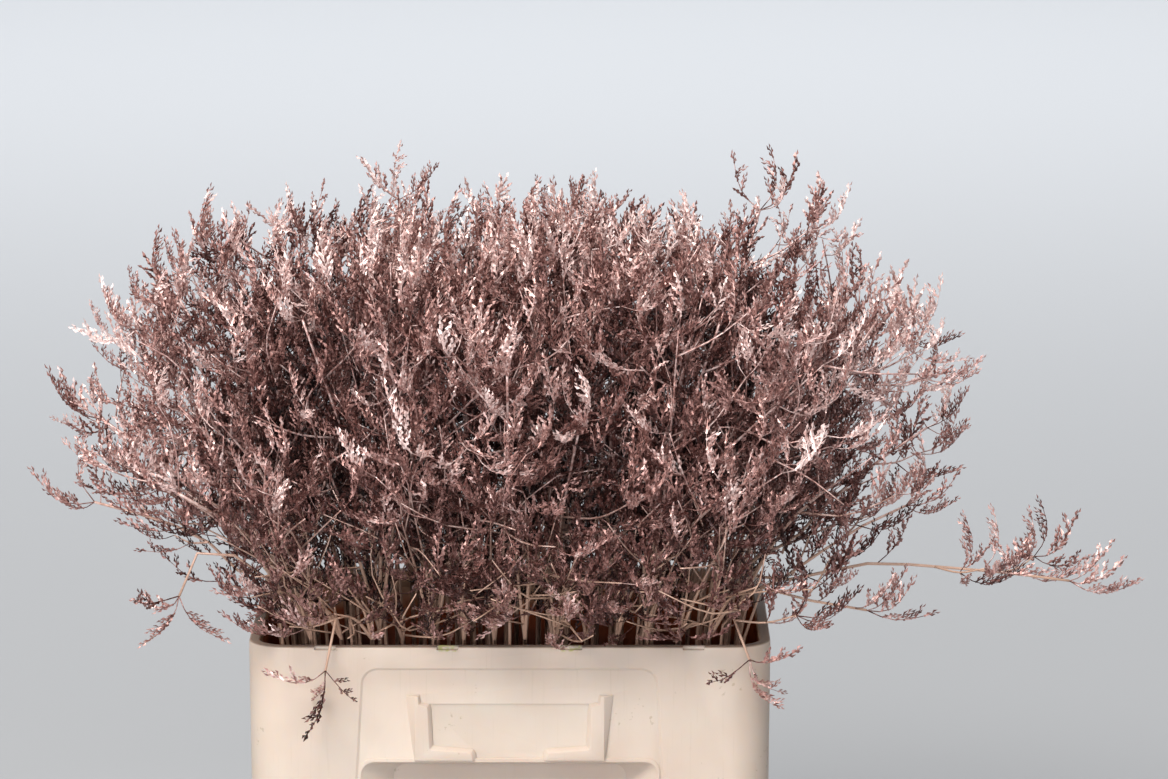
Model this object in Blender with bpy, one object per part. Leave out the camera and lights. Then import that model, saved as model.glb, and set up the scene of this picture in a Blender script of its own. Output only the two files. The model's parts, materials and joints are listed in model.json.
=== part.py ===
"""Dried statice: a full bunch of branching stems, painted rose, standing in a cream flower container.

Metres, +Z up. The origin is the middle of the container's flat base, and its front faces -Y.
Each spray is one stem with all that grew on it, so it is one solid. Its flower spikes are larger than
life and fewer, and they reach as far as the real ones do.
"""
import cmath
import math
import random

import bmesh
import bpy
import numpy as np
from mathutils import Vector

# Container: outside sizes, wall and rim
WIDTH = 0.390
DEPTH = 0.290
HEIGHT = 0.345
WALL = 0.003
FLOOR = 0.004
CORNER_RADIUS = 0.030
CORNER_STEPS = 5
SIDE_TAPER = 0.003
EDGE = 0.002
RIM_WIDTH = 0.008
RIM_HEIGHT = 0.010

# Recess below the card holder, on the front and on the back
RECESS_DEPTH = 0.022
RECESS_HALF = 0.111
RECESS_FLOOR_HALF = 0.087
RECESS_TOP = HEIGHT - 0.088
RECESS_SLOPE = 0.006

# Shallow panel round the card holder, its lips, and the slots in the rim
PANEL_SINK = 0.0012
PANEL_TOP = HEIGHT - 0.018
PANEL_FOOT = 0.015
PANEL_TOP_HALF = 0.109
PANEL_FOOT_HALF = 0.127
PANEL_RADIUS = 0.011
LIP_PROUD = 0.002
LIP_ROOT = 0.00075
CUT_BEYOND = 0.01
SLOT_CENTRES = (-0.137, -0.046, 0.046, 0.137)
SLOT_WIDTH = 0.016
SLOT_DEPTH = 0.0015

# Sprays
BUNCH_COUNT = 37
SEED = 9
STEM_RADIUS = 0.0023
AXIS_TIP_RADIUS = 0.0014
BRANCH_RADIUS = 0.0012
SPIKE_LENGTH = (0.042, 0.056)
SPIKE_STOUTNESS = 0.12
SPIKE_FULLEST = 0.38
COLLAR = 0.0022
JOINT_SPACING = 0.048
GAP = 0.0008
WALL_CLEARANCE = 0.0065
GOLDEN_ANGLE = math.radians(137.5)
FOOT_HALF = (0.150, 0.098)
MOUTH_HALF = (0.172, 0.122)
MOUTH_POWER = 3.4
STANDING_GAP = 0.0003
LONE_FOOT_SHARE = (0.86, 0.80)
BRANCH_LENGTH = (0.055, 0.095)
LONE_BRANCH_SHARE = 0.6
BRANCH_TILT = (42, 62)
BARE_BELOW = 0.30
SPIKE_TILT = (44, 68)
BRANCH_DROOP = 0.10
SPIKE_DROOP = 0.25
NUDGE = 0.0006
ROD_LIMIT = 12000

# The bunch above the rim: half its width and depth, and how much of them it fills at each height
CROWN_HALF = (0.355, 0.285)
CROWN_HEIGHTS = (-0.02, 0.03, 0.06, 0.10, 0.15, 0.20, 0.25, 0.28, 0.30, 0.32, 0.35)
CROWN_SHARES = (0.50, 0.62, 0.74, 0.90, 1.00, 0.98, 0.90, 0.80, 0.68, 0.45, 0.05)
CROWN_POWER = 2.5
CROWN_TOP = 0.318
TIP_HEIGHT = 0.265
TIP_DROPS = (0.045, 0.170)
TIP_SHARE = 0.86

UP = np.array((0.0, 0.0, 1.0))


def clear_scene():
    for item in list(bpy.data.objects):
        bpy.data.objects.remove(item, do_unlink=True)


def finish(name, colour, metallic, roughness):
    """A plain Principled finish."""
    material = bpy.data.materials.new(name)
    material.use_nodes = True
    shader = material.node_tree.nodes["Principled BSDF"]
    shader.inputs["Base Color"].default_value = (*colour, 1.0)
    shader.inputs["Metallic"].default_value = metallic
    shader.inputs["Roughness"].default_value = roughness
    return material


def add_object(name, work, material=None):
    """Turn a bmesh into an object of the scene."""
    bmesh.ops.recalc_face_normals(work, faces=work.faces)
    mesh = bpy.data.meshes.new(name)
    work.to_mesh(mesh)
    work.free()
    item = bpy.data.objects.new(name, mesh)
    bpy.context.collection.objects.link(item)
    if material:
        mesh.materials.append(material)
    return item


def wall_outline(inset, recess):
    """The container's outline at one height, with its two recesses, counter-clockwise from above."""
    half_x = WIDTH / 2 - inset
    half_y = DEPTH / 2 - inset
    radius = CORNER_RADIUS - inset
    mouth = RECESS_HALF + inset
    bed = RECESS_FLOOR_HALF + inset

    def corner(side_x, side_y, start):
        for step in range(CORNER_STEPS + 1):
            turn = math.radians(start + 90 * step / CORNER_STEPS)
            yield (side_x * (half_x - radius) + radius * math.cos(turn),
                   side_y * (half_y - radius) + radius * math.sin(turn))

    points = [(-mouth, -half_y), (-bed, recess - half_y), (bed, recess - half_y), (mouth, -half_y)]
    points += corner(1, -1, -90)
    points += corner(1, 1, 0)
    points += [(mouth, half_y), (bed, half_y - recess), (-bed, half_y - recess), (-mouth, half_y)]
    points += corner(-1, 1, 90)
    points += corner(-1, -1, 180)
    return points


def loft(work, levels):
    """Skin closed outlines that lie one above the other, and close the first and the last."""
    loops = []
    for z, inset, recess in levels:
        narrow = 1 - SIDE_TAPER * (1 - z / HEIGHT) / (WIDTH / 2)
        loops.append([work.verts.new((x * narrow, y, z)) for x, y in wall_outline(inset, recess)])
    count = len(loops[0])
    for lower, upper in zip(loops, loops[1:]):
        for i in range(count):
            j = (i + 1) % count
            work.faces.new((lower[i], lower[j], upper[j], upper[i]))
    work.faces.new(list(reversed(loops[0])))
    work.faces.new(loops[-1])


def prism(work, outline, y_front, y_back):
    """A flat shape in X and Z, made solid along Y."""
    front = [work.verts.new((x, y_front, z)) for x, z in outline]
    back = [work.verts.new((x, y_back, z)) for x, z in outline]
    count = len(outline)
    work.faces.new(front)
    work.faces.new(list(reversed(back)))
    for i in range(count):
        j = (i + 1) % count
        work.faces.new((front[j], front[i], back[i], back[j]))


def on_both_faces(work, outline, start, end):
    """The same prism on the container's front and back, from start to end inside its outer face."""
    prism(work, outline, start - DEPTH / 2, end - DEPTH / 2)
    prism(work, outline, DEPTH / 2 - start, DEPTH / 2 - end)


def panel_outline():
    """The shallow panel: narrower at its top, where its corners are round."""
    points = [(-PANEL_FOOT_HALF, PANEL_FOOT), (PANEL_FOOT_HALF, PANEL_FOOT)]
    for side, start in ((1, 0), (-1, 90)):
        for step in range(4):
            turn = math.radians(start + 30 * step)
            points.append((side * (PANEL_TOP_HALF - PANEL_RADIUS) + PANEL_RADIUS * math.cos(turn),
                           PANEL_TOP - PANEL_RADIUS + PANEL_RADIUS * math.sin(turn)))
    return points


def lip_outline(side):
    """One L-shaped lip of the card holder, measured from the rim down."""
    corners = ((-0.077, 0.086), (-0.0265, 0.086), (-0.0285, 0.080), (-0.059, 0.078), (-0.0613, 0.045),
               (-0.0704, 0.038), (-0.073, 0.038))
    return [(-side * x, HEIGHT - down) for x, down in corners]


def cut_tool(name, work):
    """An object that only shapes the container."""
    tool = add_object(name, work)
    tool.hide_render = True
    tool.display_type = "WIRE"
    return tool


def shape_with(item, tool, operation):
    modifier = item.modifiers.new(tool.name, "BOOLEAN")
    modifier.operation = operation
    modifier.object = tool
    modifier.solver = "EXACT"


def build_container():
    """One moulded piece: recessed walls, thick rim, sunk panels, card holder lips and rim slots."""
    inner = RECESS_TOP + WALL
    levels = [
        (0.0, 2 * EDGE, RECESS_DEPTH),
        (2 * EDGE, 0.0, RECESS_DEPTH),
        (RECESS_TOP - RECESS_SLOPE, 0.0, RECESS_DEPTH),
        (RECESS_TOP, 0.0, 0.0),
        (HEIGHT - EDGE, 0.0, 0.0),
        (HEIGHT, EDGE, 0.0),
        (HEIGHT, RIM_WIDTH - EDGE / 2, 0.0),
        (HEIGHT - EDGE / 2, RIM_WIDTH, 0.0),
        (HEIGHT - RIM_HEIGHT, RIM_WIDTH, 0.0),
        (HEIGHT - RIM_HEIGHT - RIM_WIDTH + WALL, WALL, 0.0),
        (inner, WALL, 0.0),
        (inner - RECESS_SLOPE, WALL, RECESS_DEPTH),
        (FLOOR + EDGE, WALL, RECESS_DEPTH),
        (FLOOR, WALL + EDGE, RECESS_DEPTH),
    ]
    work = bmesh.new()
    loft(work, levels)
    container = add_object("container", work, finish("cream_polypropylene", (0.80, 0.66, 0.52), 0.0, 0.45))

    work = bmesh.new()
    on_both_faces(work, panel_outline(), -CUT_BEYOND, PANEL_SINK)
    for centre in SLOT_CENTRES:
        left = centre - SLOT_WIDTH / 2
        right = centre + SLOT_WIDTH / 2
        base = HEIGHT - SLOT_DEPTH
        above = HEIGHT + CUT_BEYOND
        slot = [(left, base), (right, base), (right, above), (left, above)]
        on_both_faces(work, slot, EDGE, RIM_WIDTH - EDGE)
    shape_with(container, cut_tool("cut_panels_and_slots", work), "DIFFERENCE")

    work = bmesh.new()
    for side in (1, -1):
        on_both_faces(work, lip_outline(side), -LIP_PROUD, PANEL_SINK + LIP_ROOT)
    shape_with(container, cut_tool("add_card_lips", work), "UNION")
    return container


def unit(vector):
    return vector / np.linalg.norm(vector)


def crown_depth(point):
    """How far out a point lies in the bunch: 0 on its middle line, 1 at its outline."""
    share = np.interp(point[2] - HEIGHT, CROWN_HEIGHTS, CROWN_SHARES)
    across = abs(point[0] / (CROWN_HALF[0] * share)) ** CROWN_POWER
    along = abs(point[1] / (CROWN_HALF[1] * share)) ** CROWN_POWER
    height = max(0.0, (point[2] - HEIGHT) / CROWN_TOP) ** 2
    return max((across + along) ** (1 / CROWN_POWER), height)


def curve(points, count):
    """Even points on a smooth curve through hand-placed ones."""
    ends = [2 * points[0] - points[1], *points, 2 * points[-1] - points[-2]]
    fine = []
    for a, b, c, d in zip(ends, ends[1:], ends[2:], ends[3:]):
        for step in range(12):
            t = step / 12
            fine.append(0.5 * ((2 * b) + (c - a) * t + (2 * a - 5 * b + 4 * c - d) * t * t
                               + (3 * b - a - 3 * c + d) * t ** 3))
    fine.append(points[-1])
    fine = np.array(fine)
    along = np.concatenate(([0.0], np.cumsum(np.linalg.norm(np.diff(fine, axis=0), axis=1))))
    stops = np.linspace(0, along[-1], count)
    return [np.array([np.interp(stop, along, fine[:, k]) for k in range(3)]) for stop in stops]


class Room:
    """All the rods placed so far, so that the next shoot can keep clear of them."""

    def __init__(self):
        self.count = 0
        self.starts = np.zeros((ROD_LIMIT, 3))
        self.ends = np.zeros((ROD_LIMIT, 3))
        self.radii = np.zeros(ROD_LIMIT)
        self.owners = np.zeros(ROD_LIMIT, dtype=int)

    def add(self, rods, owner):
        for start, end, radius in rods:
            self.starts[self.count] = start
            self.ends[self.count] = end
            self.radii[self.count] = radius
            self.owners[self.count] = owner
            self.count += 1

    def is_free(self, rods, skipped):
        """True where no rod comes nearer than GAP to one that isn't skipped."""
        n = self.count
        kept = ~np.isin(self.owners[:n], skipped)
        starts = self.starts[:n][kept]
        spans = self.ends[:n][kept] - starts
        lengths = np.einsum("ij,ij->i", spans, spans)
        for start, end, radius in rods:
            own = end - start
            offset = start - starts
            a = own @ own
            b = spans @ own
            c = offset @ own
            f = np.einsum("ij,ij->i", spans, offset)
            split = np.maximum(a * lengths - b * b, 1e-16)
            s = np.clip((b * f - c * lengths) / split, 0, 1)
            t = np.clip((b * s + f) / lengths, 0, 1)
            s = np.clip((b * t - c) / a, 0, 1)
            apart = np.linalg.norm(offset + own * s[:, None] - spans * t[:, None], axis=1)
            if np.any(apart < self.radii[:n][kept] + radius + GAP):
                return False
        return True


class Shoot:
    """A stem, branch or spike: joints from its root to its point, and what grows at each joint."""

    def __init__(self, joints, radii, owner, bounded, first_fork=2):
        self.joints = joints
        self.radii = radii
        self.owner = owner
        self.bounded = bounded
        self.first_fork = first_fork
        self.children = {}

    def direction(self, index):
        """Where the shoot heads at a joint."""
        before = self.joints[max(index - 1, 0)]
        after = self.joints[min(index + 1, len(self.joints) - 1)]
        return unit(after - before)

    def rods(self):
        """A rod for each stretch between two joints."""
        thick = [max(pair) for pair in zip(self.radii, self.radii[1:])]
        return list(zip(self.joints, self.joints[1:], thick))


def spike_rods(start, end):
    """A spike is thin at its root, fullest at two fifths of its length, and thin again at its point."""
    radius = SPIKE_STOUTNESS * np.linalg.norm(end - start)
    return [
        (start, start + 0.2 * (end - start), 0.65 * radius),
        (start + 0.2 * (end - start), start + 0.7 * (end - start), radius),
        (start + 0.7 * (end - start), end, 0.5 * radius),
    ]


def spike_end(start, end):
    """The last two joints of a spike, and their radii."""
    radius = SPIKE_STOUTNESS * float(np.linalg.norm(end - start))
    return [start + SPIKE_FULLEST * (end - start), end], [radius, 0.0]


def random_vector(rng):
    return np.array((rng.uniform(-1, 1), rng.uniform(-1, 1), rng.uniform(-1, 1)))


def side_direction(heading, turn, tilt):
    """A direction that leans away from a heading by tilt, turned about it."""
    first = unit(np.cross(heading, (0.31, 0.95, 0.07)))
    second = np.cross(heading, first)
    sideways = math.cos(turn) * first + math.sin(turn) * second
    return math.cos(tilt) * heading + math.sin(tilt) * sideways


def bunch_stem(number):
    """The stem of one spray of the bunch: from the floor, past the rim, to its place in the crown."""
    spread = math.sqrt((number + 0.5) / BUNCH_COUNT)
    turn = number * GOLDEN_ANGLE
    across = math.cos(turn)
    along = math.sin(turn)
    square = (abs(across) ** MOUTH_POWER + abs(along) ** MOUTH_POWER) ** (-1 / MOUTH_POWER)
    across *= spread * square
    along *= spread * square
    foot = np.array((FOOT_HALF[0] * across, FOOT_HALF[1] * along, FLOOR + STANDING_GAP))
    rim = np.array((MOUTH_HALF[0] * across, MOUTH_HALF[1] * along, HEIGHT))
    drop = TIP_DROPS[number % 2] * spread ** 3
    height = TIP_HEIGHT - drop
    share = TIP_SHARE * np.interp(height, CROWN_HEIGHTS, CROWN_SHARES)
    tip = np.array((CROWN_HALF[0] * share * across, CROWN_HALF[1] * share * along, HEIGHT + height))
    reach = np.linalg.norm(tip - rim)
    middle = rim + 0.45 * reach * unit(unit(tip - rim) + 0.45 * UP)
    return [foot, rim, middle, tip]


# Sprays that stand out of the bunch, placed by hand: the first joint that branches, and the route past the
# rim as (x, y, height above the rim)
LONE_SPRAYS = {
    "long_right": (4, [(0.176, -0.020, 0.0), (0.250, -0.030, 0.037), (0.337, -0.030, 0.036),
                       (0.385, -0.030, 0.031), (0.425, -0.030, 0.026)]),
    "low_right": (2, [(0.178, -0.075, 0.0), (0.222, -0.085, 0.022), (0.268, -0.090, 0.016)]),
    "side_right": (2, [(0.176, -0.048, 0.0), (0.240, -0.055, 0.058), (0.298, -0.060, 0.090)]),
    "middle_right": (2, [(0.176, 0.015, 0.0), (0.250, 0.015, 0.085), (0.318, 0.012, 0.137)]),
    "upper_right": (2, [(0.168, 0.045, 0.0), (0.235, 0.052, 0.125), (0.300, 0.056, 0.200)]),
    "low_left": (3, [(-0.178, -0.030, 0.0), (-0.235, -0.040, 0.062), (-0.300, -0.045, 0.085),
                     (-0.315, -0.045, 0.090)]),
    "middle_left": (2, [(-0.176, 0.008, 0.0), (-0.245, 0.008, 0.092), (-0.313, 0.003, 0.145)]),
    "upper_left": (2, [(-0.170, 0.045, 0.0), (-0.225, 0.052, 0.125), (-0.290, 0.055, 0.205)]),
    "drooping_left": (3, [(-0.172, -0.090, 0.0), (-0.192, -0.100, 0.045), (-0.222, -0.108, 0.072),
                          (-0.240, -0.112, 0.056), (-0.247, -0.114, 0.032)]),
    "drooping_front": (2, [(-0.118, -0.120, 0.0), (-0.124, -0.136, 0.022), (-0.132, -0.156, 0.016),
                           (-0.136, -0.163, -0.014)]),
    "drooping_front_right": (2, [(0.158, -0.120, 0.0), (0.164, -0.136, 0.020), (0.172, -0.156, 0.014),
                                 (0.178, -0.162, -0.006)]),
    "tall_far_left": (3, [(-0.125, 0.060, 0.0), (-0.180, 0.070, 0.150), (-0.226, 0.078, 0.262)]),
    "tall_left": (3, [(-0.050, 0.030, 0.0), (-0.070, 0.040, 0.150), (-0.086, 0.048, 0.308)]),
    "tall_right": (3, [(0.100, 0.020, 0.0), (0.150, 0.035, 0.160), (0.190, 0.045, 0.300)]),
}


def lone_stem(points):
    """The joints of a spray placed by hand, with its foot below the rim point."""
    above = [np.array((x, y, HEIGHT + up)) for x, y, up in points]
    x, y, _ = above[0]
    foot = np.array((LONE_FOOT_SHARE[0] * x, LONE_FOOT_SHARE[1] * y, FLOOR + STANDING_GAP))
    return [foot, *above]


def rim_rods():
    """The container's rim, which the stems stay clear of."""
    x = WIDTH / 2 - RIM_WIDTH / 2
    y = DEPTH / 2 - RIM_WIDTH / 2
    z = HEIGHT - RIM_HEIGHT / 2
    corners = [np.array(point) for point in ((-x, -y, z), (x, -y, z), (x, y, z), (-x, y, z))]
    return [(corners[i - 1], corners[i], RIM_HEIGHT * 0.7) for i in range(4)]


def start_stems(room, rng):
    """Every stem of the bunch and of the lone sprays, in the order in which they are named."""
    stems = []
    plans = [(lone_stem(points), False, first_fork) for first_fork, points in LONE_SPRAYS.values()]
    plans += [(bunch_stem(number), True, 2) for number in range(BUNCH_COUNT)]
    for number, (route, bounded, first_fork) in enumerate(plans):
        length = sum(np.linalg.norm(b - a) for a, b in zip(route[1:], route[2:]))
        above_count = max(3, round(length / JOINT_SPACING) + 1)
        for attempt in range(40):
            nudge = NUDGE * attempt
            moved = []
            for index, point in enumerate(route):
                share = 0.4 if index < 2 else 1.0
                moved.append(point + share * nudge * np.array((rng.uniform(-1, 1), rng.uniform(-1, 1), 0)))
            joints = moved[:1] + curve(moved[1:], above_count)
            radii = [STEM_RADIUS, *np.linspace(STEM_RADIUS, AXIS_TIP_RADIUS, above_count).tolist()]
            stem = Shoot(joints, radii, number, bounded, first_fork)
            if room.is_free(stem.rods(), [number]):
                break
        room.add(stem.rods(), number)
        stems.append(stem)
    return stems


def is_clear_of_walls(start, end):
    """True where a straight shoot stays above the rim, or outside the container."""
    for share in (0.25, 0.5, 0.75, 1.0):
        x, y, z = start + share * (end - start)
        beside = max(abs(x) - WIDTH / 2, abs(y) - DEPTH / 2)
        if max(beside, z - HEIGHT) < WALL_CLEARANCE:
            return False
    return True


def add_branches(stems, room, rng):
    """Side branches of every stem, longest low on the crown, each with a joint halfway."""
    branches = []
    owner = 1000
    for stem in stems:
        turn = rng.uniform(0, 2 * math.pi)
        last = len(stem.joints) - 1
        for index in range(stem.first_fork, last):
            turn += GOLDEN_ANGLE
            start = stem.joints[index]
            if stem.bounded and crown_depth(start) < BARE_BELOW:
                continue
            heading = stem.direction(index)
            for attempt in range(24):
                length = rng.uniform(*BRANCH_LENGTH) * (1.0 if stem.bounded else LONE_BRANCH_SHARE)
                tilt = math.radians(rng.uniform(*BRANCH_TILT))
                away = side_direction(heading, turn + rng.uniform(-1, 1) * attempt / 6, tilt)
                if away[2] < min(0.0, heading[2]) - BRANCH_DROOP:
                    continue
                middle = start + 0.5 * length * away
                end = middle + 0.5 * length * unit(away + 0.30 * UP)
                if stem.bounded and crown_depth(end) > 0.93:
                    continue
                branch = Shoot([start, middle, end], [BRANCH_RADIUS] * 3, owner, stem.bounded)
                rods = [(start + 0.1 * (middle - start), middle, BRANCH_RADIUS),
                        (middle, end, 2 * BRANCH_RADIUS)]
                if is_clear_of_walls(start, end) and room.is_free(rods, [stem.owner]):
                    room.add(branch.rods(), owner)
                    stem.children.setdefault(index, []).append(branch)
                    branches.append(branch)
                    owner += 1
                    break
    return branches


def add_end_spike(shoot, room, rng, owner):
    """A shoot ends in a spike that carries on its line."""
    heading = shoot.direction(len(shoot.joints) - 1)
    base = shoot.joints[-1]
    for attempt in range(20):
        aim = unit(heading + 0.02 * attempt * random_vector(rng))
        length = rng.uniform(*SPIKE_LENGTH) * (1 - 0.02 * attempt)
        tip = base + length * aim
        if shoot.bounded and crown_depth(tip) > 1.02:
            continue
        if is_clear_of_walls(base, tip) and room.is_free(spike_rods(base, tip), [shoot.owner]):
            room.add(spike_rods(base, tip), owner)
            joints, radii = spike_end(base, tip)
            shoot.joints += joints
            shoot.radii += radii
            return
    shoot.joints.append(base + 0.003 * heading)
    shoot.radii.append(0.0)


def turned_side(heading, guide, third):
    """Square to a heading, on the guide's side of it, then turned by thirds of a circle."""
    first = unit(guide - (guide @ heading) * heading)
    angle = third * 2 * math.pi / 3
    return math.cos(angle) * first + math.sin(angle) * np.cross(heading, first)


def add_side_spikes(shoot, index, room, rng, owner):
    """Up to three spikes or branches grow at a joint, a third of a circle apart."""
    heading = shoot.direction(index)
    start = shoot.joints[index]
    onward = unit(shoot.joints[index + 1] - start)
    grown = shoot.children.setdefault(index, [])
    for third in range(len(grown), 3):
        guide = grown[0].joints[1] - start if grown else random_vector(rng)
        side = turned_side(heading, guide, third)
        for attempt in range(24):
            tilt = math.radians(rng.uniform(*SPIKE_TILT))
            away = unit(math.cos(tilt) * heading + math.sin(tilt) * side + 0.16 * UP
                        + 0.24 * random_vector(rng))
            if away @ heading < 0.30 or away @ side < 0.5 or max(away @ heading, away @ onward) > 0.76:
                continue
            if away[2] < min(0.0, heading[2]) - SPIKE_DROOP:
                continue
            if any(away @ unit(other.joints[1] - start) > 0.70 for other in grown):
                continue
            length = rng.uniform(*SPIKE_LENGTH) * (1 - 0.02 * attempt)
            tip = start + length * away
            if shoot.bounded and crown_depth(tip) > 1.02:
                continue
            rods = spike_rods(start + 0.08 * (tip - start), tip)
            if is_clear_of_walls(start, tip) and room.is_free(rods, [shoot.owner, owner]):
                room.add(rods, owner)
                joints, radii = spike_end(start, tip)
                grown.append(Shoot([start, *joints], [BRANCH_RADIUS, *radii], owner, shoot.bounded))
                break


def grow_sprays():
    """The whole bunch: stems, then branches, then spikes, each kept clear of all before it."""
    rng = random.Random(SEED)
    room = Room()
    room.add(rim_rods(), -1)
    stems = start_stems(room, rng)
    branches = add_branches(stems, room, rng)
    owner = 5000
    for shoot in stems + branches:
        ends = len(shoot.joints) - 1
        add_end_spike(shoot, room, rng, owner)
        own_joints = [ends, 1] if shoot in branches else [ends, *shoot.children]
        for index in own_joints:
            add_side_spikes(shoot, index, room, rng, owner)
            owner += 1
    return stems


def turn_of(verts, centre, first, second):
    """The angle at which a ring of three points stands, seen along its shoot."""
    total = 0
    for i, vert in enumerate(verts):
        offset = vert.co - centre
        total += complex(offset.dot(first), offset.dot(second)) * cmath.exp(-2j * math.pi * i / 3)
    return cmath.phase(total)


def skin_side(work, a, b, c, d):
    """One side of a shoot as two triangles that fold outwards."""
    outward = (b.co - a.co).cross(c.co - a.co)
    if (d.co - a.co).dot(outward) < 0:
        work.faces.new((a, b, c))
        work.faces.new((a, c, d))
    else:
        work.faces.new((a, b, d))
        work.faces.new((b, c, d))


def extend(work, face, centre, heading, radius, facing=None, collar=False):
    """Extrude a three-sided end face to a new ring. Where something grows there, one side faces it."""
    base = list(face.verts)
    guide = facing if facing else Vector((0.31, 0.95, 0.07))
    first = (guide - guide.dot(heading) * heading).normalized()
    second = heading.cross(first)
    middle = sum((vert.co for vert in base), Vector()) / 3
    turn = turn_of(base, middle, first, second)
    if facing:
        sixth = math.pi / 3
        turn = sixth + 2 * sixth * round((turn - sixth) / (2 * sixth))
    ring = []
    for i in range(3):
        angle = turn + 2 * math.pi * i / 3
        ring.append(work.verts.new(centre + radius * (math.cos(angle) * first + math.sin(angle) * second)))
    work.faces.remove(face)
    sides = []
    for i in range(3):
        j = (i + 1) % 3
        if collar:
            sides.append(work.faces.new((base[i], base[j], ring[j], ring[i])))
        else:
            skin_side(work, base[i], base[j], ring[j], ring[i])
    return work.faces.new(ring), sides


def close_point(work, face, point):
    """End a shoot in a point."""
    base = list(face.verts)
    tip = work.verts.new(point)
    work.faces.remove(face)
    for i in range(3):
        work.faces.new((base[i], base[(i + 1) % 3], tip))


def root_face(work, sides, centre, heading):
    """Half of the side that best faces a new shoot, as its root."""
    def facing(side):
        return (side.calc_center_median() - centre).normalized().dot(heading)

    side = max(sides, key=facing)
    sides.remove(side)
    a, b, c, d = side.verts
    work.faces.remove(side)
    work.faces.new((a, c, d))
    return work.faces.new((a, b, c))


def skin_shoot(work, face, shoot):
    """Skin a shoot from its root face to its point, then all that grows on it."""
    last = len(shoot.joints) - 1
    grown = []
    for index in range(1, last):
        centre = Vector(shoot.joints[index])
        heading = Vector(shoot.direction(index))
        radius = shoot.radii[index]
        children = shoot.children.get(index)
        if not children:
            face, _ = extend(work, face, centre, heading, radius)
            continue
        facing = Vector(children[0].joints[1]) - centre
        face, _ = extend(work, face, centre - COLLAR * heading, heading, radius, facing)
        face, sides = extend(work, face, centre + COLLAR * heading, heading, radius, facing, collar=True)
        grown.append((centre, sides, children))
    close_point(work, face, Vector(shoot.joints[last]))
    for centre, sides, children in grown:
        for child in children:
            toward = (Vector(child.joints[1]) - centre).normalized()
            skin_shoot(work, root_face(work, sides, centre, toward), child)


def build_spray(stem, name, material):
    """One spray as a single closed solid that stands on the container's floor."""
    work = bmesh.new()
    foot = Vector(stem.joints[0])
    ring = []
    for i in range(3):
        angle = 2 * math.pi * i / 3
        ring.append(work.verts.new(foot + STEM_RADIUS * Vector((math.cos(angle), math.sin(angle), 0))))
    skin_shoot(work, work.faces.new(ring), stem)
    work.faces.new(list(reversed(ring)))
    bmesh.ops.triangulate(work, faces=work.faces, quad_method="SHORT_EDGE")
    return add_object(name, work, material)


clear_scene()
build_container()
rose_paint = finish("rose_painted_statice", (0.23, 0.13, 0.12), 0.35, 0.42)
for position, grown_stem in enumerate(grow_sprays()):
    build_spray(grown_stem, f"spray_{position + 1:02d}", rose_paint)
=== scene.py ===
import json
import math
import random

import bmesh
import bpy
import numpy as np
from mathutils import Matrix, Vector, noise

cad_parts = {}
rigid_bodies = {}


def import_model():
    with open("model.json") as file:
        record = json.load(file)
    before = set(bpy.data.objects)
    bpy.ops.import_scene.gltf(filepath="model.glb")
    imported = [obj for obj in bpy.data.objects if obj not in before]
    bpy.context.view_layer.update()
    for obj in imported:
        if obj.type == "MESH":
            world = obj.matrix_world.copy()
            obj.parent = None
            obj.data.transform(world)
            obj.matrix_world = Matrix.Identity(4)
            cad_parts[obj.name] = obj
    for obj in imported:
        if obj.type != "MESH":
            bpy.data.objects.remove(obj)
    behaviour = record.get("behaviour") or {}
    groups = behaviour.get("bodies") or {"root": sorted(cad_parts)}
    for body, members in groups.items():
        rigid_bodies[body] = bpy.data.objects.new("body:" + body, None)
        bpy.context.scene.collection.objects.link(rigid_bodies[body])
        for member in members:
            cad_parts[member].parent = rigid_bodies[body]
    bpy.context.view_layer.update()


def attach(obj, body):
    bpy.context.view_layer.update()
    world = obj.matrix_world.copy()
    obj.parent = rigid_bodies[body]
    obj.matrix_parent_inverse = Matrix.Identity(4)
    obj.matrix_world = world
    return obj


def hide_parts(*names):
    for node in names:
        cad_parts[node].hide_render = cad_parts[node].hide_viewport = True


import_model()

# Container
# A tall florist's container, injection moulded in one piece from cream polypropylene: tapered walls with
# round corners, a thick rim with shallow slots, and a recess with a card holder above it, front and back.
WIDTH = 0.390
DEPTH = 0.290
HEIGHT = 0.345
WALL = 0.003
FLOOR = 0.004
CORNER_RADIUS = 0.030
CORNER_STEPS = 14
SIDE_TAPER = 0.003
EDGE = 0.002
RIM_WIDTH = 0.008
RIM_HEIGHT = 0.010
RECESS_DEPTH = 0.022
RECESS_HALF = 0.111
RECESS_FLOOR_HALF = 0.087
RECESS_TOP = HEIGHT - 0.088
RECESS_SLOPE = 0.006
RECESS_RADIUS = 0.010
RECESS_BORDER = 0.0030
RECESS_BORDER_SIDE = 0.0010
PANEL_SINK = 0.0012
PANEL_SLOPE = 0.0018
PANEL_TOP = HEIGHT - 0.018
PANEL_FOOT = 0.015
PANEL_TOP_HALF = 0.109
PANEL_FOOT_HALF = 0.127
PANEL_RADIUS = 0.011
CARD_HALF = 0.0595
CARD_TOP = HEIGHT - 0.0438
CARD_SINK = 0.0018
LIP_PROUD = 0.0024
LIP_ROOT = 0.0004
SLOT_CENTRES = (-0.137, -0.046, 0.046, 0.137)
SLOT_WIDTH = 0.016
SLOT_DEPTH = 0.0026
SLOT_REACH = 0.0045
CUT_BEYOND = 0.01
WALL_LEVELS = (0.08, 0.16, 0.24)
MOULD_ROUNDING = 0.0007
ROUNDED_FROM = math.radians(28)
SHARP_FROM = math.radians(32)


def arc(centre_x, centre_z, radius, start, end, steps):
    """Points along part of a circle, angles in degrees."""
    turns = [math.radians(start + (end - start) * step / steps) for step in range(steps + 1)]
    return [(centre_x + radius * math.cos(turn), centre_z + radius * math.sin(turn)) for turn in turns]


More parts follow.
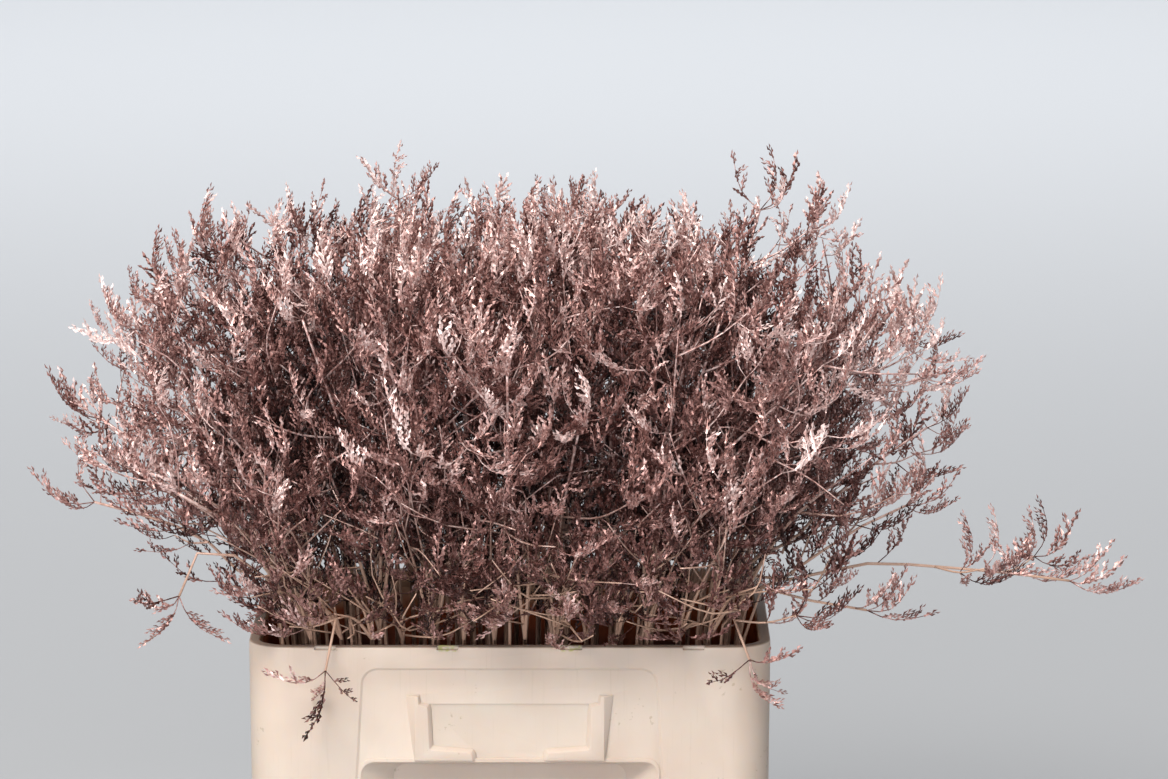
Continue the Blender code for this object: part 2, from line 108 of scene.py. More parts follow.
def skin(work, loops):
    """Skin closed loops of points one after the other, and close the first and the last."""
    rings = [[work.verts.new(point) for point in loop] for loop in loops]
    count = len(rings[0])
    for lower, upper in zip(rings, rings[1:]):
        for i in range(count):
            j = (i + 1) % count
            work.faces.new((lower[i], lower[j], upper[j], upper[i]))
    work.faces.new(list(reversed(rings[0])))
    work.faces.new(rings[-1])


def wall_ring(z, inset):
    """The container's outline at one height, inset from its outer face."""
    radius = CORNER_RADIUS - inset
    narrow = 1 - SIDE_TAPER * (1 - z / HEIGHT) / (WIDTH / 2)
    points = []
    for side_x, side_y, start in ((1, -1, -90), (1, 1, 0), (-1, 1, 90), (-1, -1, 180)):
        corner_x = side_x * (WIDTH / 2 - inset - radius)
        corner_y = side_y * (DEPTH / 2 - inset - radius)
        points += arc(corner_x, corner_y, radius, start, start + 90, CORNER_STEPS)
    return [(x * narrow, y, z) for x, y in points]


def new_object(name, content):
    item = bpy.data.objects.new(name, content)
    bpy.context.collection.objects.link(item)
    return item


def joined(name, work):
    """An object made of a work mesh, with its faces turned outwards."""
    bmesh.ops.recalc_face_normals(work, faces=work.faces)
    mesh = bpy.data.meshes.new(name)
    work.to_mesh(mesh)
    work.free()
    return new_object(name, mesh)


def on_both_faces(name, *blocks):
    """Blocks front and back, each skinned over its sections: depth inside the outer face, and outline."""
    work = bmesh.new()
    for sections in blocks:
        for side in (-1, 1):
            skin(work, [[(x, side * (DEPTH / 2 - depth), z) for x, z in outline]
                        for depth, outline in sections])
    return joined(name, work)


def arched(half, top, radius, foot):
    """An outline with square lower corners and round upper ones."""
    right = arc(half - radius, top - radius, radius, 0, 90, 6)
    left = arc(radius - half, top - radius, radius, 90, 180, 6)
    return [(-half, foot), (half, foot), *right, *left]


def recess_outline(depth, wider, foot):
    """The recess at one depth: its sides and its top close in as it gets deeper."""
    half = RECESS_HALF + (RECESS_FLOOR_HALF - RECESS_HALF) * depth / RECESS_DEPTH + wider
    top = RECESS_TOP - RECESS_SLOPE * depth / RECESS_DEPTH + wider
    return arched(half, top, RECESS_RADIUS + wider, foot)


def panel_outline(wider=0.0):
    """The sunk panel round the card holder and the recess: narrower at its top, with round corners there."""
    right = [(PANEL_FOOT_HALF + wider, PANEL_FOOT - wider)]
    right += arc(PANEL_TOP_HALF - PANEL_RADIUS, PANEL_TOP - PANEL_RADIUS, PANEL_RADIUS + wider, 0, 90, 8)
    return right + [(-x, z) for x, z in reversed(right)]


# The card holder's left lip from its horn round to its outer foot, in tenths of a millimetre: across, and
# how far below the rim
LIP_FACE = ((-705, 377), (-682, 377), (-676, 440), (-634, 446), (-616, 456), (-610, 480), (-600, 762),
            (-594, 778), (-575, 785), (-312, 803), (-290, 812), (-280, 832), (-276, 862), (-705, 862))
LIP_BASE = ((-773, 367), (-668, 367), (-658, 426), (-622, 430), (-594, 438), (-584, 470), (-572, 742),
            (-570, 754), (-560, 758), (-306, 776), (-270, 784), (-252, 812), (-246, 866), (-713, 866))


def mould_container():
    """The shell, then the recesses' inner walls, all that is cut out, the lips, and small round edges."""
    quarter = [math.radians(90 * step / 4) for step in range(5)]
    levels = [(0.0, 2 * EDGE), (0.3 * EDGE, EDGE), (EDGE, 0.3 * EDGE), (2 * EDGE, 0.0)]
    levels += [(z, 0.0) for z in WALL_LEVELS]
    levels += [(HEIGHT - EDGE + EDGE * math.sin(turn), EDGE * (1 - math.cos(turn))) for turn in quarter]
    levels += [(HEIGHT - EDGE / 2 * (1 - math.cos(turn)), RIM_WIDTH - EDGE / 2 * (1 - math.sin(turn)))
               for turn in quarter]
    levels += [(HEIGHT - RIM_HEIGHT, RIM_WIDTH), (HEIGHT - RIM_HEIGHT - RIM_WIDTH + WALL, WALL)]
    levels += [(FLOOR + EDGE, WALL), (FLOOR, WALL + EDGE)]
    work = bmesh.new()
    skin(work, [wall_ring(z, inset) for z, inset in levels])
    shell = joined("container_shell", work)

    panel = [(-CUT_BEYOND, panel_outline(PANEL_SLOPE)), (0.0, panel_outline(PANEL_SLOPE)),
             (PANEL_SINK, panel_outline())]
    slots = []
    for centre in SLOT_CENTRES:
        left, right = centre - SLOT_WIDTH / 2, centre + SLOT_WIDTH / 2
        low, high = HEIGHT - SLOT_DEPTH, HEIGHT + EDGE
        slot = [(left, low), (right, low), (right, high), (left, high)]
        slots.append([(-CUT_BEYOND, slot), (SLOT_REACH, slot)])
    border = arched(RECESS_HALF + RECESS_BORDER_SIDE, RECESS_TOP + RECESS_BORDER, RECESS_RADIUS,
                    PANEL_FOOT + RECESS_BORDER_SIDE)
    card_foot = RECESS_TOP + RECESS_BORDER
    card = [(-CARD_HALF, card_foot), (CARD_HALF, card_foot), (CARD_HALF, CARD_TOP), (-CARD_HALF, CARD_TOP)]
    lips = []
    for side in (1, -1):
        base, face = [[(side * x / 10000, HEIGHT - down / 10000) for x, down in outline]
                      for outline in (LIP_BASE, LIP_FACE)]
        lips.append([(CARD_SINK + LIP_ROOT, base), (PANEL_SINK * 0.5, base), (-LIP_PROUD, face)])
    inner_walls = [(depth, recess_outline(depth, WALL, FLOOR / 2))
                   for depth in (WALL / 2, RECESS_DEPTH + WALL)]
    recess = [(depth, recess_outline(depth, 0.0, -CUT_BEYOND)) for depth in (-EDGE, RECESS_DEPTH)]
    steps = (("recess_walls", "UNION", [inner_walls]),
             ("cuts", "DIFFERENCE", [panel, *slots]),
             ("borders", "UNION", [[(PANEL_SINK + LIP_ROOT, border), (0.0, border)]]),
             ("recess", "DIFFERENCE", [recess]),
             ("card_bed", "DIFFERENCE", [[(-CUT_BEYOND, card), (CARD_SINK, card)]]),
             ("lips", "UNION", lips))
    used = [shell]
    for name, operation, blocks in steps:
        modifier = shell.modifiers.new(name, "BOOLEAN")
        modifier.operation = operation
        modifier.object = on_both_faces(name, *blocks)
        modifier.solver = "EXACT"
        used.append(modifier.object)
    rounding = shell.modifiers.new("mould rounding", "BEVEL")
    rounding.width = MOULD_ROUNDING
    rounding.segments = 2
    rounding.limit_method = "ANGLE"
    rounding.angle_limit = ROUNDED_FROM
    mesh = bpy.data.meshes.new_from_object(shell.evaluated_get(bpy.context.evaluated_depsgraph_get()))
    for item in used:
        bpy.data.objects.remove(item, do_unlink=True)
    mesh.name = "cream_container"
    mesh.shade_smooth()
    mesh.set_sharp_from_angle(angle=SHARP_FROM)
    return new_object("cream_container", mesh)


def linear(code):
    """An sRGB hex colour as linear numbers, with full alpha."""
    parts = [int(code[i:i + 2], 16) / 255 for i in (1, 3, 5)]
    return (*[part / 12.92 if part <= 0.04045 else ((part + 0.055) / 1.055) ** 2.4 for part in parts], 1.0)


def add_node(tree, kind, values=None, links=None, stops=None):
    """Add a node: its settings or unlinked sockets, the outputs that feed it, and a ramp's stops."""
    node = tree.nodes.new("ShaderNode" + kind)
    for key, value in (values or {}).items():
        if isinstance(key, int) or key in node.inputs:
            node.inputs[key].default_value = value
        else:
            setattr(node, key, value)
    for key, source in (links or {}).items():
        tree.links.new(source, node.inputs[key])
    for index, (position, colour) in enumerate(stops or []):
        ramp = node.color_ramp.elements
        stop = ramp[index] if index < 2 else ramp.new(position)
        stop.position = position
        stop.color = colour
    return node


def new_material(name):
    """An empty material, its node tree, and the piece's own coordinates in metres."""
    material = bpy.data.materials.new(name)
    material.use_nodes = True
    tree = material.node_tree
    tree.nodes.clear()
    place = add_node(tree, "TexCoord").outputs["Object"]
    return material, tree, place


def finish_material(tree, settings, sockets, height=None, depth=0.0):
    """The principled shader joined to the output, with an optional bump of that depth in metres."""
    shader = add_node(tree, "BsdfPrincipled", settings, sockets)
    if height:
        bump = add_node(tree, "Bump", {"Strength": 1.0, "Distance": depth}, {"Height": height})
        tree.links.new(bump.outputs["Normal"], shader.inputs["Normal"])
    add_node(tree, "OutputMaterial", None, {"Surface": shader.outputs["BSDF"]})


def cloudy(tree, place, size, detail):
    """Noise whose patches are about that many metres across."""
    return add_node(tree, "TexNoise", {"Scale": 1 / size, "Detail": detail}, {"Vector": place}).outputs["Fac"]


def calculate(tree, operation, *terms):
    """A maths node on sockets and plain numbers."""
    values = {"operation": operation}
    values.update({i: term for i, term in enumerate(terms) if isinstance(term, float)})
    links = {i: term for i, term in enumerate(terms) if not isinstance(term, float)}
    return add_node(tree, "Math", values, links).outputs["Value"]


def mapped(tree, value, start, end, low=0.0, high=1.0):
    """A value that runs from start to end, as low to high."""
    limits = {"From Min": start, "From Max": end, "To Min": low, "To Max": high}
    return add_node(tree, "MapRange", limits, {"Value": value}).outputs["Result"]


def shaded(tree, value, *stops):
    """A value as a colour between stops of (position, hex colour)."""
    stops = [(position, linear(code)) for position, code in stops]
    return add_node(tree, "ValToRGB", None, {"Fac": value}, stops).outputs["Color"]


def covered(tree, colour, amount, code):
    """A colour with a hex colour laid over it."""
    return add_node(tree, "MixRGB", {"Color2": linear(code)},
                    {"Fac": amount, "Color1": colour}).outputs["Color"]


def cream_polypropylene():
    """Injection-moulded polypropylene, used for years: a soft sheen, faint drag lines, scuffs and specks."""
    material, tree, place = new_material("cream_polypropylene")
    colour = shaded(tree, cloudy(tree, place, 0.070, 3.0), (0.35, "#C3B0A1"), (0.65, "#C9B9AB"))
    drawn = add_node(tree, "Mapping", {"Scale": (1 / 0.0022, 1 / 0.0022, 1 / 0.060)}, {"Vector": place})
    lines = cloudy(tree, drawn.outputs["Vector"], 1.0, 2.0)
    colour = covered(tree, colour, mapped(tree, lines, 0.62, 0.75, high=0.35), "#B7A693")
    grit = cloudy(tree, place, 0.0045, 4.0)
    specks = calculate(tree, "MULTIPLY", grit, cloudy(tree, place, 0.045, 2.0))
    colour = covered(tree, colour, mapped(tree, specks, 0.395, 0.43, high=0.45), "#988468")

    # The rim's top darker brown, and a little green in the two middle slots
    across, _, height = add_node(tree, "SeparateXYZ", None, {"Vector": place}).outputs
    rim_top_darkening = mapped(tree, height, HEIGHT - 0.0012, HEIGHT - 0.0003, high=0.8)
    colour = covered(tree, colour, rim_top_darkening, "#6E584B")
    beside = calculate(tree, "SUBTRACT", calculate(tree, "ABSOLUTE", across), SLOT_CENTRES[2])
    in_slot = mapped(tree, calculate(tree, "ABSOLUTE", beside), SLOT_WIDTH / 2, SLOT_WIDTH / 2 - 0.002)
    algae = calculate(tree, "MULTIPLY", in_slot, mapped(tree, height, HEIGHT - 0.0044, HEIGHT - 0.0030))
    algae = calculate(tree, "MULTIPLY", algae, mapped(tree, grit, 0.42, 0.58))
    colour = covered(tree, colour, algae, "#ABA76C")
    settings = {"Roughness": 0.55, "IOR": 1.49, "Subsurface Weight": 0.30, "Subsurface Scale": 0.005,
                "Subsurface Radius": (1.0, 0.5, 0.25)}
    finish_material(tree, settings, {"Base Color": colour}, cloudy(tree, place, 0.0012, 2.0), 0.00003)
    return material


def stained_polypropylene_with_painted_light_and_shade():
    """The same plastic inside, stained red-brown by plant water, with painted light and shade: orange near
    the rim where light would come through the wall, near black towards the floor.
    """
    material, tree, place = new_material("stained_polypropylene_with_painted_light_and_shade")
    height = add_node(tree, "SeparateXYZ", None, {"Vector": place}).outputs["Z"]
    streaks = cloudy(tree, place, 0.030, 4.0)
    raised = calculate(tree, "MULTIPLY_ADD", streaks, 0.06, height)
    # Painted light and shade over the stain: pale and orange near the rim for light through the wall,
    # darkening to near black deep inside.
    colour = shaded(tree, mapped(tree, raised, HEIGHT - 0.110, HEIGHT + 0.028),
                    (0.0, "#1E0C08"), (0.55, "#5A2412"), (0.78, "#B65A2A"), (0.93, "#D8B496"))
    finish_material(tree, {"Roughness": 0.5, "IOR": 1.49}, {"Base Color": colour}, streaks, 0.0002)
    return material


def is_inside(face):
    """True for a face of the container's inner surface: it lies in the cavity and looks inwards."""
    x, y, z = face.center
    inward_x = -math.copysign(face.normal.x, x * face.normal.x)
    inward_y = -math.copysign(face.normal.y, y * face.normal.y)
    in_cavity = abs(x) < WIDTH / 2 - WALL / 2 and abs(y) < DEPTH / 2 - WALL / 2
    looks_in = inward_y > -0.3 and max(inward_x, inward_y, face.normal.z) > 0.3
    return in_cavity and FLOOR / 2 < z < HEIGHT - RIM_HEIGHT / 3 and looks_in


container = mould_container()
container.data.materials.append(cream_polypropylene())
container.data.materials.append(stained_polypropylene_with_painted_light_and_shade())
for face in container.data.polygons:
    face.material_index = int(is_inside(face))
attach(container, "root")
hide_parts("container")

# Stems of the sprays
# Each spray is a cut statice stem that stands on the container's floor and leans on its rim. It grows here
# by the rule and the seed of the solid spray, so that stem, branches and flower heads are in the same place.
BUNCH_COUNT = 37
SEED = 9
STEM_RADIUS = 0.0023
AXIS_TIP_RADIUS = 0.0014
BRANCH_RADIUS = 0.0012
SPIKE_LENGTH = (0.042, 0.056)
SPIKE_STOUTNESS = 0.12
SPIKE_FULLEST = 0.38
JOINT_SPACING = 0.048
GAP = 0.0008
WALL_CLEARANCE = 0.0065
GOLDEN_ANGLE = math.radians(137.5)
FOOT_HALF = (0.150, 0.098)
MOUTH_HALF = (0.172, 0.122)
MOUTH_POWER = 3.4
STANDING_GAP = 0.0003
LONE_FOOT_SHARE = (0.86, 0.80)
BRANCH_LENGTH = (0.055, 0.095)
LONE_BRANCH_SHARE = 0.6
BRANCH_TILT = (42, 62)
BARE_BELOW = 0.30
SPIKE_TILT = (44, 68)
BRANCH_DROOP = 0.10
SPIKE_DROOP = 0.25
STEM_LIFT = 0.45
BRANCH_LIFT = 0.30
BRANCH_REACH = 0.93
SPIKE_LIFT = 0.16
SPIKE_CHANCE = 0.24
SPIKE_REACH = 1.02
LEAST_ONWARD = 0.30
MOST_ONWARD = 0.76
LEAST_ASIDE = 0.5
MOST_ALIKE = 0.70
STEM_TRIES = 40
END_TRIES = 20
SIDE_TRIES = 24
SHORTER_EACH_TRY = 0.02
BRANCH_OWNERS = 1000
SPIKE_OWNERS = 5000
NUDGE = 0.0006
ROD_LIMIT = 12000
CROWN_HALF = (0.355, 0.285)
CROWN_HEIGHTS = (-0.02, 0.03, 0.06, 0.10, 0.15, 0.20, 0.25, 0.28, 0.30, 0.32, 0.35)
CROWN_SHARES = (0.50, 0.62, 0.74, 0.90, 1.00, 0.98, 0.90, 0.80, 0.68, 0.45, 0.05)
CROWN_POWER = 2.5
CROWN_TOP = 0.318
TIP_HEIGHT = 0.265
TIP_DROPS = (0.045, 0.170)
TIP_SHARE = 0.86
UP = np.array((0.0, 0.0, 1.0))
ASKEW = (0.31, 0.95, 0.07)

# Sprays that stand out of the bunch, listed one by one: the first joint that branches, and the route past the
# rim in millimetres: x, y and height above the rim
LONE_SPRAYS = {
    "long_right": (4, [(176, -20, 0), (250, -30, 37), (337, -30, 36), (385, -30, 31), (425, -30, 26)]),
    "low_right": (2, [(178, -75, 0), (222, -85, 22), (268, -90, 16)]),
    "side_right": (2, [(176, -48, 0), (240, -55, 58), (298, -60, 90)]),
    "middle_right": (2, [(176, 15, 0), (250, 15, 85), (318, 12, 137)]),
    "upper_right": (2, [(168, 45, 0), (235, 52, 125), (300, 56, 200)]),
    "low_left": (3, [(-178, -30, 0), (-235, -40, 62), (-300, -45, 85), (-315, -45, 90)]),
    "middle_left": (2, [(-176, 8, 0), (-245, 8, 92), (-313, 3, 145)]),
    "upper_left": (2, [(-170, 45, 0), (-225, 52, 125), (-290, 55, 205)]),
    "drooping_left": (3, [(-172, -90, 0), (-192, -100, 45), (-222, -108, 72), (-240, -112, 56),
                          (-247, -114, 32)]),
    "drooping_front": (2, [(-118, -120, 0), (-124, -136, 22), (-132, -156, 16), (-136, -163, -14)]),
    "drooping_front_right": (2, [(158, -120, 0), (164, -136, 20), (172, -156, 14), (178, -162, -6)]),
    "tall_far_left": (3, [(-125, 60, 0), (-180, 70, 150), (-226, 78, 262)]),
    "tall_left": (3, [(-50, 30, 0), (-70, 40, 150), (-86, 48, 308)]),
    "tall_right": (3, [(100, 20, 0), (150, 35, 160), (190, 45, 300)]),
}


def unit(vector):
    return vector / np.linalg.norm(vector)


def square_to(heading, vector):
    """The part of a vector square to a heading, as a direction."""
    return unit(vector - (vector @ heading) * heading)


def swung(first, second, angle):
    """A direction swung by an angle from the first towards the second, which are square to each other."""
    return math.cos(angle) * first + math.sin(angle) * second


def crown_depth(point):
    """How far out a point lies in the bunch: 0 on its middle line, 1 at its outline."""
    share = np.interp(point[2] - HEIGHT, CROWN_HEIGHTS, CROWN_SHARES)
    across = abs(point[0] / (CROWN_HALF[0] * share)) ** CROWN_POWER
    along = abs(point[1] / (CROWN_HALF[1] * share)) ** CROWN_POWER
    height = max(0.0, (point[2] - HEIGHT) / CROWN_TOP) ** 2
    return max((across + along) ** (1 / CROWN_POWER), height)


def lengths_along(path):
    """How far along a path each of its points lies."""
    return np.concatenate(([0.0], np.cumsum(np.linalg.norm(np.diff(path, axis=0), axis=1))))


def point_at(path, along, stop):
    return np.array([np.interp(stop, along, path[:, k]) for k in range(3)])


def curve(points, count):
    """Even points on a smooth curve through a few."""
    ends = [2 * points[0] - points[1], *points, 2 * points[-1] - points[-2]]
    fine = []
    for a, b, c, d in zip(ends, ends[1:], ends[2:], ends[3:]):
        for step in range(12):
            t = step / 12
            fine.append(0.5 * ((2 * b) + (c - a) * t + (2 * a - 5 * b + 4 * c - d) * t * t
                               + (3 * b - a - 3 * c + d) * t ** 3))
    fine.append(points[-1])
    fine = np.array(fine)
    along = lengths_along(fine)
    return [point_at(fine, along, stop) for stop in np.linspace(0, along[-1], count)]


class Room:
    """All the rods placed so far, so that the next shoot can keep clear of them."""

    def __init__(self):
        self.count = 0
        self.starts = np.zeros((ROD_LIMIT, 3))
        self.ends = np.zeros((ROD_LIMIT, 3))
        self.radii = np.zeros(ROD_LIMIT)
        self.owners = np.zeros(ROD_LIMIT, dtype=int)

    def add(self, rods, owner):
        for rod in rods:
            n = self.count
            self.starts[n], self.ends[n], self.radii[n] = rod
            self.owners[n] = owner
            self.count += 1

    def is_free(self, rods, skipped):
        """True where no rod comes nearer than GAP to one that isn't skipped."""
        n = self.count
        kept = ~np.isin(self.owners[:n], skipped)
        starts = self.starts[:n][kept]
        spans = self.ends[:n][kept] - starts
        lengths = np.einsum("ij,ij->i", spans, spans)
        for start, end, radius in rods:
            own = end - start
            offset = start - starts
            a = own @ own
            b = spans @ own
            c = offset @ own
            f = np.einsum("ij,ij->i", spans, offset)
            split = np.maximum(a * lengths - b * b, 1e-16)
            s = np.clip((b * f - c * lengths) / split, 0, 1)
            t = np.clip((b * s + f) / lengths, 0, 1)
            s = np.clip((b * t - c) / a, 0, 1)
            apart = np.linalg.norm(offset + own * s[:, None] - spans * t[:, None], axis=1)
            if np.any(apart < self.radii[:n][kept] + radius + GAP):
                return False
        return True


class Shoot:
    """A stem, branch or flower head: joints from its root to its point, and what grows at each joint."""

    def __init__(self, joints, radii, owner, bounded, first_fork=2):
        self.joints = joints
        self.radii = radii
        self.owner = owner
        self.bounded = bounded
        self.first_fork = first_fork
        self.children = {}

    def direction(self, index):
        """Where the shoot heads at a joint."""
        before = self.joints[max(index - 1, 0)]
        after = self.joints[min(index + 1, len(self.joints) - 1)]
        return unit(after - before)

    def rods(self):
        """A rod for each stretch between two joints."""
        thick = [max(pair) for pair in zip(self.radii, self.radii[1:])]
        return list(zip(self.joints, self.joints[1:], thick))


def spike_rods(start, end):
    """A flower head is thin at its root, fullest at two fifths of its length, and thin at its point."""
    radius = SPIKE_STOUTNESS * np.linalg.norm(end - start)
    return [
        (start, start + 0.2 * (end - start), 0.65 * radius),
        (start + 0.2 * (end - start), start + 0.7 * (end - start), radius),
        (start + 0.7 * (end - start), end, 0.5 * radius),
    ]


def spike_end(start, end):
    """The last two joints of a flower head, and their radii."""
    radius = SPIKE_STOUTNESS * float(np.linalg.norm(end - start))
    return [start + SPIKE_FULLEST * (end - start), end], [radius, 0.0]


def random_vector(rng):
    return np.array((rng.uniform(-1, 1), rng.uniform(-1, 1), rng.uniform(-1, 1)))


def side_direction(heading, turn, tilt):
    """A direction that leans away from a heading by tilt, turned about it."""
    first = unit(np.cross(heading, ASKEW))
    return swung(heading, swung(first, np.cross(heading, first), turn), tilt)


def foot_below(rim):
    """Where a stem stands on the floor that leans on the rim at a point."""
    return np.array((LONE_FOOT_SHARE[0] * rim[0], LONE_FOOT_SHARE[1] * rim[1], FLOOR + STANDING_GAP))


def crown_tip(across, along, height, out):
    """A point in the crown: its direction, its height above the rim, and how far out it lies."""
    share = out * float(np.interp(height, CROWN_HEIGHTS, CROWN_SHARES))
    return np.array((CROWN_HALF[0] * share * across, CROWN_HALF[1] * share * along, HEIGHT + height))


def bunch_stem(number, count):
    """The stem of one spray of the bunch: from the floor, past the rim, to its place in the crown."""
    spread = math.sqrt((number + 0.5) / count)
    turn = number * GOLDEN_ANGLE
    across = math.cos(turn)
    along = math.sin(turn)
    square = (abs(across) ** MOUTH_POWER + abs(along) ** MOUTH_POWER) ** (-1 / MOUTH_POWER)
    across *= spread * square
    along *= spread * square
    foot = np.array((FOOT_HALF[0] * across, FOOT_HALF[1] * along, FLOOR + STANDING_GAP))
    rim = np.array((MOUTH_HALF[0] * across, MOUTH_HALF[1] * along, HEIGHT))
    tip = crown_tip(across, along, TIP_HEIGHT - TIP_DROPS[number % 2] * spread ** 3, TIP_SHARE)
    reach = np.linalg.norm(tip - rim)
    middle = rim + 0.45 * reach * unit(unit(tip - rim) + STEM_LIFT * UP)
    return [foot, rim, middle, tip]


def lone_stem(points):
    """The joints of a listed spray, with its foot below the rim point."""
    above = [np.array((x / 1000, y / 1000, HEIGHT + up / 1000)) for x, y, up in points]
    return [foot_below(above[0]), *above]


def rim_rods():
    """The container's rim, which the stems stay clear of."""
    x = WIDTH / 2 - RIM_WIDTH / 2
    y = DEPTH / 2 - RIM_WIDTH / 2
    z = HEIGHT - RIM_HEIGHT / 2
    corners = [np.array(point) for point in ((-x, -y, z), (x, -y, z), (x, y, z), (-x, y, z))]
    return [(corners[i - 1], corners[i], RIM_HEIGHT * 0.7) for i in range(4)]


def start_stems(room, rng):
    """Every stem of the bunch and of the lone sprays, in the order in which they are named."""
    stems = []
    plans = [(lone_stem(points), False, first_fork) for first_fork, points in LONE_SPRAYS.values()]
    plans += [(bunch_stem(number, BUNCH_COUNT), True, 2) for number in range(BUNCH_COUNT)]
    for number, (route, bounded, first_fork) in enumerate(plans):
        length = sum(np.linalg.norm(b - a) for a, b in zip(route[1:], route[2:]))
        above_count = max(3, round(length / JOINT_SPACING) + 1)
        for attempt in range(STEM_TRIES):
            nudge = NUDGE * attempt
            moved = []
            for index, point in enumerate(route):
                share = 0.4 if index < 2 else 1.0
                moved.append(point + share * nudge * np.array((rng.uniform(-1, 1), rng.uniform(-1, 1), 0)))
            joints = moved[:1] + curve(moved[1:], above_count)
            radii = [STEM_RADIUS, *np.linspace(STEM_RADIUS, AXIS_TIP_RADIUS, above_count).tolist()]
            stem = Shoot(joints, radii, number, bounded, first_fork)
            if room.is_free(stem.rods(), [number]):
                break
        room.add(stem.rods(), number)
        stems.append(stem)
    return stems


def is_clear_of_walls(start, end):
    """True where a straight shoot stays above the rim, or outside the container."""
    for share in (0.25, 0.5, 0.75, 1.0):
        x, y, z = start + share * (end - start)
        beside = max(abs(x) - WIDTH / 2, abs(y) - DEPTH / 2)
        if max(beside, z - HEIGHT) < WALL_CLEARANCE:
            return False
    return True


def add_branches(stems, room, rng):
    """Side branches of every stem, each with a joint halfway."""
    branches = []
    owner = BRANCH_OWNERS
    for stem in stems:
        turn = rng.uniform(0, 2 * math.pi)
        last = len(stem.joints) - 1
        for index in range(stem.first_fork, last):
            turn += GOLDEN_ANGLE
            start = stem.joints[index]
            if stem.bounded and crown_depth(start) < BARE_BELOW:
                continue
            heading = stem.direction(index)
            for attempt in range(SIDE_TRIES):
                length = rng.uniform(*BRANCH_LENGTH) * (1.0 if stem.bounded else LONE_BRANCH_SHARE)
                tilt = math.radians(rng.uniform(*BRANCH_TILT))
                away = side_direction(heading, turn + rng.uniform(-1, 1) * attempt / 6, tilt)
                if away[2] < min(0.0, heading[2]) - BRANCH_DROOP:
                    continue
                middle = start + 0.5 * length * away
                end = middle + 0.5 * length * unit(away + BRANCH_LIFT * UP)
                if stem.bounded and crown_depth(end) > BRANCH_REACH:
                    continue
                branch = Shoot([start, middle, end], [BRANCH_RADIUS] * 3, owner, stem.bounded)
                rods = [(start + 0.1 * (middle - start), middle, BRANCH_RADIUS),
                        (middle, end, 2 * BRANCH_RADIUS)]
                if is_clear_of_walls(start, end) and room.is_free(rods, [stem.owner]):
                    room.add(branch.rods(), owner)
                    stem.children.setdefault(index, []).append(branch)
                    branches.append(branch)
                    owner += 1
                    break
    return branches


def add_end_spike(shoot, room, rng, owner):
    """A shoot ends in a flower head that carries on its line."""
    heading = shoot.direction(len(shoot.joints) - 1)
    base = shoot.joints[-1]
    for attempt in range(END_TRIES):
        aim = unit(heading + 0.02 * attempt * random_vector(rng))
        length = rng.uniform(*SPIKE_LENGTH) * (1 - SHORTER_EACH_TRY * attempt)
        tip = base + length * aim
        if shoot.bounded and crown_depth(tip) > SPIKE_REACH:
            continue
        if is_clear_of_walls(base, tip) and room.is_free(spike_rods(base, tip), [shoot.owner]):
            room.add(spike_rods(base, tip), owner)
            joints, radii = spike_end(base, tip)
            shoot.joints += joints
            shoot.radii += radii
            return
    shoot.joints.append(base + 0.003 * heading)
    shoot.radii.append(0.0)


def turned_side(heading, guide, third):
    """Square to a heading, on the guide's side of it, then turned by thirds of a circle."""
    first = square_to(heading, guide)
    return swung(first, np.cross(heading, first), third * 2 * math.pi / 3)


def add_side_spikes(shoot, index, room, rng, owner):
    """Up to three flower heads or branches grow at a joint, a third of a circle apart."""
    heading = shoot.direction(index)
    start = shoot.joints[index]
    onward = unit(shoot.joints[index + 1] - start)
    grown = shoot.children.setdefault(index, [])
    for third in range(len(grown), 3):
        guide = grown[0].joints[1] - start if grown else random_vector(rng)
        side = turned_side(heading, guide, third)
        for attempt in range(SIDE_TRIES):
            tilt = math.radians(rng.uniform(*SPIKE_TILT))
            away = unit(swung(heading, side, tilt) + SPIKE_LIFT * UP + SPIKE_CHANCE * random_vector(rng))
            if away @ heading < LEAST_ONWARD or away @ side < LEAST_ASIDE:
                continue
            if max(away @ heading, away @ onward) > MOST_ONWARD:
                continue
            if away[2] < min(0.0, heading[2]) - SPIKE_DROOP:
                continue
            if any(away @ unit(other.joints[1] - start) > MOST_ALIKE for other in grown):
                continue
            length = rng.uniform(*SPIKE_LENGTH) * (1 - SHORTER_EACH_TRY * attempt)
            tip = start + length * away
            if shoot.bounded and crown_depth(tip) > SPIKE_REACH:
                continue
            rods = spike_rods(start + 0.08 * (tip - start), tip)
            if is_clear_of_walls(start, tip) and room.is_free(rods, [shoot.owner, owner]):
                room.add(rods, owner)
                joints, radii = spike_end(start, tip)
                grown.append(Shoot([start, *joints], [BRANCH_RADIUS, *radii], owner, shoot.bounded))
                break


def grow_sprays():
    """The whole bunch: stems, then branches, then flower heads, each kept clear of all before it."""
    rng = random.Random(SEED)
    room = Room()
    room.add(rim_rods(), -1)
    stems = start_stems(room, rng)
    branches = add_branches(stems, room, rng)
    owner = SPIKE_OWNERS
    for shoot in stems + branches:
        ends = len(shoot.joints) - 1
        add_end_spike(shoot, room, rng, owner)
        own_joints = [ends, 1] if shoot in branches else [ends, *shoot.children]
        for index in own_joints:
            add_side_spikes(shoot, index, room, rng, owner)
            owner += 1
    return stems


